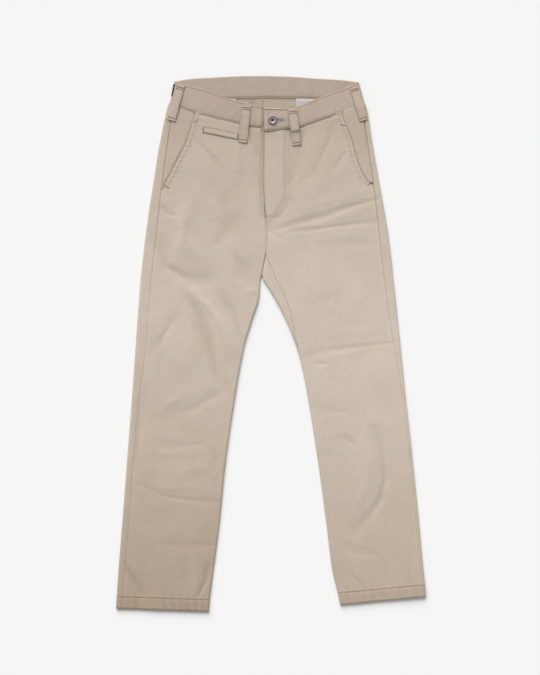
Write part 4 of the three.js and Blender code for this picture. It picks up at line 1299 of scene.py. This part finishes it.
def under_loop(side, x, y):
    """Highest cloth under a loop, looked for a little above and below a point."""
    def surface(height):
        if height > along(WAIST_SEAM[side], x):
            return band_height(side, x, height)
        return front_height(side, x, height)

    return max(surface(y + step) for step in (-0.006, 0.0, 0.006))


def loop_height(side, start, end, x, y):
    """Height of a loop's outer face, which is pressed down at both bar tacks."""
    share = clamp01((Vector((x, y)) - start).dot(end - start) / (end - start).length_squared)
    spine = start.lerp(end, share)
    stand = 0.0010 * math.sin(math.pi * share) ** 0.7
    tack = 0.0004 * (bell(share - 0.10, 0.03) + bell(share - 0.90, 0.03))
    return under_loop(side, spine.x, spine.y) + 0.0006 + LOOP_WALL + stand - tack


def belt_loop(name, side, start, end):
    run = end - start
    length = run.length
    across_unit = Vector((run.y, -run.x)).normalized()
    columns = marks(LOOP_WIDTH, 8, LOOP_EDGE, LOOP_EDGE)
    lines = marks(length, 30, LOOP_EDGE, LOOP_EDGE)

    def shape(i, j):
        off = columns[i] - LOOP_WIDTH / 2
        at = start + run * (lines[j] / length) + across_unit * off
        edge = min(columns[i], LOOP_WIDTH - columns[i])
        end_edge = min(lines[j], length - lines[j])
        z = loop_height(side, start, end, at.x, at.y) - over_the_edge(side, at.x, at.y)
        z -= rolled(edge, 0.0007) + rolled(end_edge, 0.0009) + 0.0002 * bell(edge - 0.0022, 0.0010)
        # Painted shade along the loop's edges and ends.
        tone = dark_line(min(edge, end_edge), at=0, width=0.0008, depth=0.34)
        return (at.x, at.y, z), (off, lines[j]), tone, 0.5 * bell(edge - 0.002, 0.0012)

    return cloth_piece(name.replace("belt_loop", "loop"), len(columns) - 1, len(lines) - 1, shape,
                       [loop_twill], LOOP_WALL, [name])


loops = {name: belt_loop(name, *place) for name, place in LOOPS.items()}
centre_loop = plain_sheet("loop_centre_back", upright(left=-0.016, right=0.002, top=0.520, bottom=0.448),
                          loop_twill, "belt_loop_centre_back")

# Watch pocket
# A small welted pocket on the right front. Its welt is a folded strip whose upper edge is the
# mouth, held down all round by stitching.
WATCH = [Vector((-0.131, 0.4218)), Vector((-0.064, 0.408))]
WATCH_DROP = 0.011
WATCH_WALL = 0.0010


def watch_welt():
    left, right = WATCH
    width = (right - left).length
    columns = marks(width, 24, FINE_EDGE, FINE_EDGE)
    lines = marks(WATCH_DROP, 6, FINE_EDGE, FINE_EDGE)

    def shape(i, j):
        at = left.lerp(right, columns[i] / width) - Vector((0.0, lines[j]))
        sides = min(columns[i], width - columns[i], WATCH_DROP - lines[j])
        z = front_height("right", at.x, at.y) + 0.0006 + WATCH_WALL
        z -= rolled(lines[j], 0.0009) + 0.0012 * (1 - smooth(0.0, 0.0022, sides))
        # Painted light falling off down the leg, and painted shade round the welt's edges.
        tone = along(PAINTED_LIGHT_FALLOFF["right"], at.y) * dark_line(min(sides, lines[j]), at=0, width=0.0009, depth=0.40)
        return (at.x, at.y, z), (columns[i], lines[j]), tone, 0.4 * bell(lines[j] - 0.002, 0.001)

    return cloth_piece("watch_welt", len(columns) - 1, len(lines) - 1, shape, [face_twill], WATCH_WALL,
                       ["watch_pocket_welt"])


watch = watch_welt()

# Back pocket welts and the patch
# A narrow welt closes each back pocket on the underside, and a blank black hide patch is sewn
# to the outside of the back waistband.
def back_welt(side):
    middle = Vector((OUTWARD[side] * WELT.x + along(CENTRE_BACK, WELT.y), WELT.y))
    turn = Matrix.Rotation(-OUTWARD[side] * WELT.turn, 2)
    corners = [middle + turn @ Vector(corner)
               for corner in upright(-WELT.width / 2, WELT.width / 2, WELT.height / 2, -WELT.height / 2)]
    return plain_sheet(f"back_welt_{side}", corners, loop_twill,
                       f"back_pocket_welt_{side}", across=40, rows=5)


welts = both(back_welt)
patch_hide, hide_tree, hide_shader = new_material("black patch hide")
hide_place = add_node(hide_tree, "ShaderNodeTexCoord").outputs["Object"]
hide_cells = add_node(hide_tree, "ShaderNodeTexVoronoi", {"Vector": hide_place, "Scale": 900.0})
hide_scuffs = cloud(hide_tree, hide_place, scale=60.0, detail=5.0)
hide_bump = add_node(hide_tree, "ShaderNodeBump", {"Height": hide_cells.outputs["Distance"], "Strength": 0.4,
                     "Distance": 0.0003})
hide_colour = blend(hide_tree, hide_scuffs, srgb(24, 23, 25), srgb(46, 43, 43))
feed(hide_tree, hide_shader, {"Base Color": hide_colour, "Normal": hide_bump.outputs["Normal"],
                              "Roughness": remap(hide_tree, hide_scuffs, (0.0, 1.0), (0.5, 0.75))})
PATCH_CORNERS = [(-0.1898, 0.507), (-0.120, 0.507), (-0.1945, 0.482), (-0.120, 0.482)]
patch = plain_sheet("blank_patch", PATCH_CORNERS, patch_hide, "waist_patch")

# Tack button
# A dished metal button on a shank, pressed through the underlap and pushed through the
# buttonhole of the tab. The metal is dull and darker in its dish.
BUTTON_FOOT = BAND_HEIGHT + WAIST_LIFT + SEAM_GAP
BUTTON_SEAT = BUTTON_FOOT + TAB_RISE
BUTTON_RIM = BUTTON_SEAT + 0.0026
button_profile = [
    (0.0, BUTTON_FOOT), (0.0022, BUTTON_FOOT), (0.0022, BUTTON_SEAT), (0.0072, BUTTON_SEAT),
    (0.0081, BUTTON_SEAT + 0.0003), (0.0085, BUTTON_SEAT + 0.0009), (0.0085, BUTTON_RIM - 0.0009),
    (0.0082, BUTTON_RIM - 0.0003), (0.0076, BUTTON_RIM), (0.0066, BUTTON_RIM), (0.0060, BUTTON_RIM - 0.0003),
    (0.0056, BUTTON_RIM - 0.0010), (0.0050, BUTTON_RIM - 0.0014), (0.0034, BUTTON_RIM - 0.0016),
    (0.0027, BUTTON_RIM - 0.0013), (0.0022, BUTTON_RIM - 0.0007), (0.0012, BUTTON_RIM - 0.0005),
    (0.0, BUTTON_RIM - 0.0005),
]
bm = bmesh.new()
ring = [bm.verts.new((radius, 0.0, height)) for radius, height in button_profile]
edges = [bm.edges.new(pair) for pair in zip(ring, ring[1:])]
bmesh.ops.spin(bm, geom=ring + edges, axis=(0, 0, 1), cent=(0, 0, 0), steps=64, angle=math.tau,
               use_merge=True)
bmesh.ops.remove_doubles(bm, verts=bm.verts, dist=1e-6)
bmesh.ops.recalc_face_normals(bm, faces=bm.faces)
bmesh.ops.translate(bm, verts=bm.verts, vec=(BUTTON.x, BUTTON.y, 0.0))
for face in bm.faces:
    face.smooth = True
button_metal, metal_tree, metal_shader = new_material("dull button metal")
metal_place = add_node(metal_tree, "ShaderNodeTexCoord").outputs["Object"]
metal_from = mapped(metal_tree, metal_place, Location=(-BUTTON.x, -BUTTON.y, 0.0))
metal_flat = vector_calc(metal_tree, "MULTIPLY", {0: metal_from, 1: (1.0, 1.0, 0.0)})
metal_reach = add_node(metal_tree, "ShaderNodeVectorMath", {0: metal_flat}, operation="LENGTH")
metal_dish = remap(metal_tree, metal_reach.outputs["Value"], (0.0020, 0.0042), (0.0, 1.6))
metal_spots = cloud(metal_tree, metal_place, scale=700.0, detail=4.0)
metal_mask = calc(metal_tree, "MULTIPLY", metal_dish, metal_spots)
metal_colour = blend(metal_tree, metal_mask, srgb(64, 57, 61), srgb(184, 174, 180))
feed(metal_tree, metal_shader, {"Base Color": metal_colour, "Metallic": 0.85,
                                "Roughness": remap(metal_tree, metal_spots, (0.0, 1.0), (0.32, 0.6))})
finish_piece("tack_button", bm, [button_metal], None, ["button"])

# Stitching
# Short raised stitches of cotton thread along the sewn edges, and bar tacks on the loops,
# pockets and fly. Each group is one joined mesh.

STITCH = SimpleNamespace(pitch=0.0034, length=0.0025, width=0.00055, height=0.00035)
# Lines of stitching in from each slanted pocket edge
POCKET_ROWS = (0.0016, 0.0078)
# The curved line that holds the fly lap, sewn twice side by side, as x and y
J_LINE = [(0.0277, 0.417), (0.0277, 0.378), (0.0277, 0.2904), (0.0240, 0.2810), (0.0191, 0.2730),
          (0.0152, 0.2658), (0.0098, 0.2565), (0.0031, 0.2500), (-0.0055, 0.2475), (-0.0100, 0.2470)]
# Lines along the centre front: side, how far from it, from y, to y, count of points
FLY_ROWS = (("left", 0.0018, 0.2475, 0.411, 40), ("right", -0.0075, 0.2475, 0.411, 40),
            ("left", 0.0018, 0.176, 0.2465, 20))
# The box of stitching on the buttoned tab, as x and y
TAB_BOX = [(-0.0118, 0.4555), (0.0335, 0.4545), (0.0335, 0.4195), (-0.0118, 0.4165), (-0.0118, 0.4555)]
# The loops' lines, out from the middle, their bar tacks, as shares down the loop, and the tacks'
# half length
LOOP_LINE = 0.0062
LOOP_TACKS = (0.075, 0.13, 0.92)
TACK_HALF = 0.0075
TACK = SimpleNamespace(pitch=0.00055, depth=0.0016, lift=0.0003, width=0.0006, height=0.0004)


def thread_finish(name, light, dark):
    """Twisted cotton thread: fine slanting plies and small changes of shade."""
    material, tree, shader = new_material(name)
    place = add_node(tree, "ShaderNodeTexCoord").outputs["Object"]
    plies = stripes(tree, place, "DIAGONAL", scale=700.0, distortion=1.0)
    spots = cloud(tree, place, scale=90.0)
    bump = add_node(tree, "ShaderNodeBump", {"Height": plies, "Strength": 0.5, "Distance": 0.0002})
    feed(tree, shader, {"Base Color": blend(tree, calc(tree, "MULTIPLY", plies, spots), dark, light),
                        "Roughness": remap(tree, spots, (0.0, 1.0), (0.7, 0.9)),
                        "Normal": bump.outputs["Normal"]})
    return material


beige_thread = thread_finish("beige thread", srgb(166, 147, 128), srgb(128, 109, 92))
grey_thread = thread_finish("grey buttonhole thread", srgb(168, 166, 176), srgb(124, 124, 138))

ball = bmesh.new()
bmesh.ops.create_uvsphere(ball, u_segments=6, v_segments=4, radius=1.0)
stitch_ball = bpy.data.meshes.new("stitch_ball")
ball.to_mesh(stitch_ball)
ball.free()


def lay_thread(bm, first, second, height, lift, width, thick):
    """One stitch on the cloth between two points: a small ball drawn out along it."""
    start, end = [Vector((p.x, p.y, height(p.x, p.y) + lift)) for p in (first, second)]
    run = end - start
    turn = run.to_track_quat("X", "Z").to_matrix().to_4x4()
    size = Matrix.Diagonal((run.length / 2, width / 2, thick, 1.0))
    drawn = stitch_ball.copy()
    drawn.transform(Matrix.Translation((start + end) / 2) @ turn @ size)
    bm.from_mesh(drawn)
    bpy.data.meshes.remove(drawn)


def walk(points, step):
    """Points at even steps along a line of corners, with the direction there."""
    corners = [Vector(p) for p in points]
    lengths = [(b - a).length for a, b in zip(corners, corners[1:])]
    whole = sum(lengths)
    count = max(int(whole / step), 1)
    places = []
    for k in range(count):
        distance = whole * (k + 0.5) / count
        i = 0
        while i < len(lengths) - 1 and distance > lengths[i]:
            distance -= lengths[i]
            i += 1
        way = (corners[i + 1] - corners[i]).normalized()
        places.append((corners[i] + way * distance, way))
    return places


def sew(bm, points, height):
    """A line of running stitches that lies on the cloth."""
    for at, way in walk(points, STITCH.pitch):
        half = way * STITCH.length / 2
        lay_thread(bm, at - half, at + half, height, STITCH.height * 0.35, STITCH.width, STITCH.height)


def bar_tack(bm, start, end, height):
    """A short dense row of threads laid side by side across its own length."""
    for at, way in walk((start, end), TACK.pitch):
        half = Vector((-way.y, way.x)) * TACK.depth / 2
        lay_thread(bm, at - half, at + half, height, TACK.lift, TACK.width, TACK.height)


def on_front(side, lift=0.0):
    """The height of a front's face as stitches need it."""
    return lambda x, y: front_height(side, x, y) + lift


bm = bmesh.new()
for side, edge in POCKET_EDGE.items():
    (low_y, low_x), (high_y, high_x) = edge[0], edge[-2]
    inward = -OUTWARD[side]
    ys = spaced(low_y + 0.004, edge[-1][0], 24)
    for off in POCKET_ROWS:
        sew(bm, [(along(edge, y) + inward * off, y) for y in ys], on_front(side))
    bar_tack(bm, (low_x + inward * 0.001, low_y + 0.008), (low_x + inward * 0.011, low_y + 0.001),
             on_front(side))
    bar_tack(bm, (high_x + inward * 0.001, high_y - 0.004), (high_x + inward * 0.010, high_y - 0.001),
             on_front(side))
for shift in (0.0, 0.0022):
    sew(bm, [(x - shift, y + shift * (y < 0.29)) for x, y in J_LINE], on_front("left"))
for side, off, from_y, to_y, count in FLY_ROWS:
    sew(bm, [(along(CENTRE_FRONT, y) + off, y) for y in spaced(from_y, to_y, count)], on_front(side))
bar_tack(bm, (-0.0185, 0.4125), (-0.0185, 0.4195), on_front("right"))
welt_left, welt_right = WATCH
for gap in (-0.0016, WATCH_DROP + 0.0005):
    sew(bm, [(p.x, p.y - gap) for p in (welt_left, welt_left.lerp(welt_right, 0.5), welt_right)],
        on_front("right", 0.0002))
for end, sign in ((welt_left, -1), (welt_right, 1)):
    x = end.x + sign * 0.0008
    bar_tack(bm, (x, end.y + 0.001), (x, end.y - WATCH_DROP - 0.001), on_front("right", 0.0004))
finish_piece("stitching_fronts", bm, [beige_thread], None)

bm = bmesh.new()
for side in ("right", "left"):
    row_at, length = leg_rows(side, STATIONS[side], CENTRE_FRONT)
    row = row_at(length - HEM_STITCH)
    line = [row.outer.lerp(row.inner, s / row.length) for s in spaced(0.004, row.length - 0.004, 30)]
    sew(bm, line, lambda x, y: FLAT_HEIGHT + crease_height(side, x, y) + unevenness(x, y)
        + hem_height(side, x, HEM_STITCH))
finish_piece("stitching_hems", bm, [beige_thread], None)


def on_tab(x, y):
    """The height of the buttoned tab's face."""
    return band_height("left", x, y)


bm = bmesh.new()
for side, start, end in (("right", 0.02, 0.99), ("left", 0.006, 0.98)):
    for down in (0.055, 0.945):
        sew(bm, [on_band(side, share, down) for share in spaced(start, end, 80)],
            lambda x, y: band_height(side, x, y) - 0.00035)
for down in (0.925, 0.975):
    sew(bm, [on_band("back", share, down) for share in spaced(0.03, 0.97, 80)],
        lambda x, y: waist_lift(y) + BAND_WALL)
sew(bm, TAB_BOX, on_tab)
finish_piece("stitching_waistband", bm, [beige_thread], None)

bm = bmesh.new()
for side, start, end in LOOPS.values():
    run = end - start
    aside = Vector((run.y, -run.x)).normalized()

    def on_loop(x, y):
        return loop_height(side, start, end, x, y)

    for off in (-LOOP_LINE, LOOP_LINE):
        sew(bm, [start + run * 0.04 + aside * off, end - run * 0.04 + aside * off], on_loop)
    for share in LOOP_TACKS:
        middle = start + run * share
        bar_tack(bm, middle - aside * TACK_HALF, middle + aside * TACK_HALF, on_loop)
finish_piece("stitching_loops", bm, [beige_thread], None)

# Buttonhole
# The slit that is cut through the tab is bound in grey purl stitches, which lie side by side
# along it and round its end.
hole_end = Vector((BUTTON.x + HOLE_LENGTH, BUTTON.y))
PURL_PITCH = 0.00075
PURL_FROM = 0.0007
PURL_TO = 0.0026
purls = [(hole_end, Vector((1.0, 0.0)))]
for sign in (1, -1):
    for at, way in walk((Vector((BUTTON.x + 0.001, BUTTON.y)), hole_end), PURL_PITCH):
        purls.append((at, Vector((0.0, sign))))
bm = bmesh.new()
for at, way in purls:
    lay_thread(bm, at + way * PURL_FROM, at + way * PURL_TO, on_tab, lift=0.0003, width=0.0008, thick=0.0005)
finish_piece("buttonhole_binding", bm, [grey_thread], None)

for side in ("right", "left"):
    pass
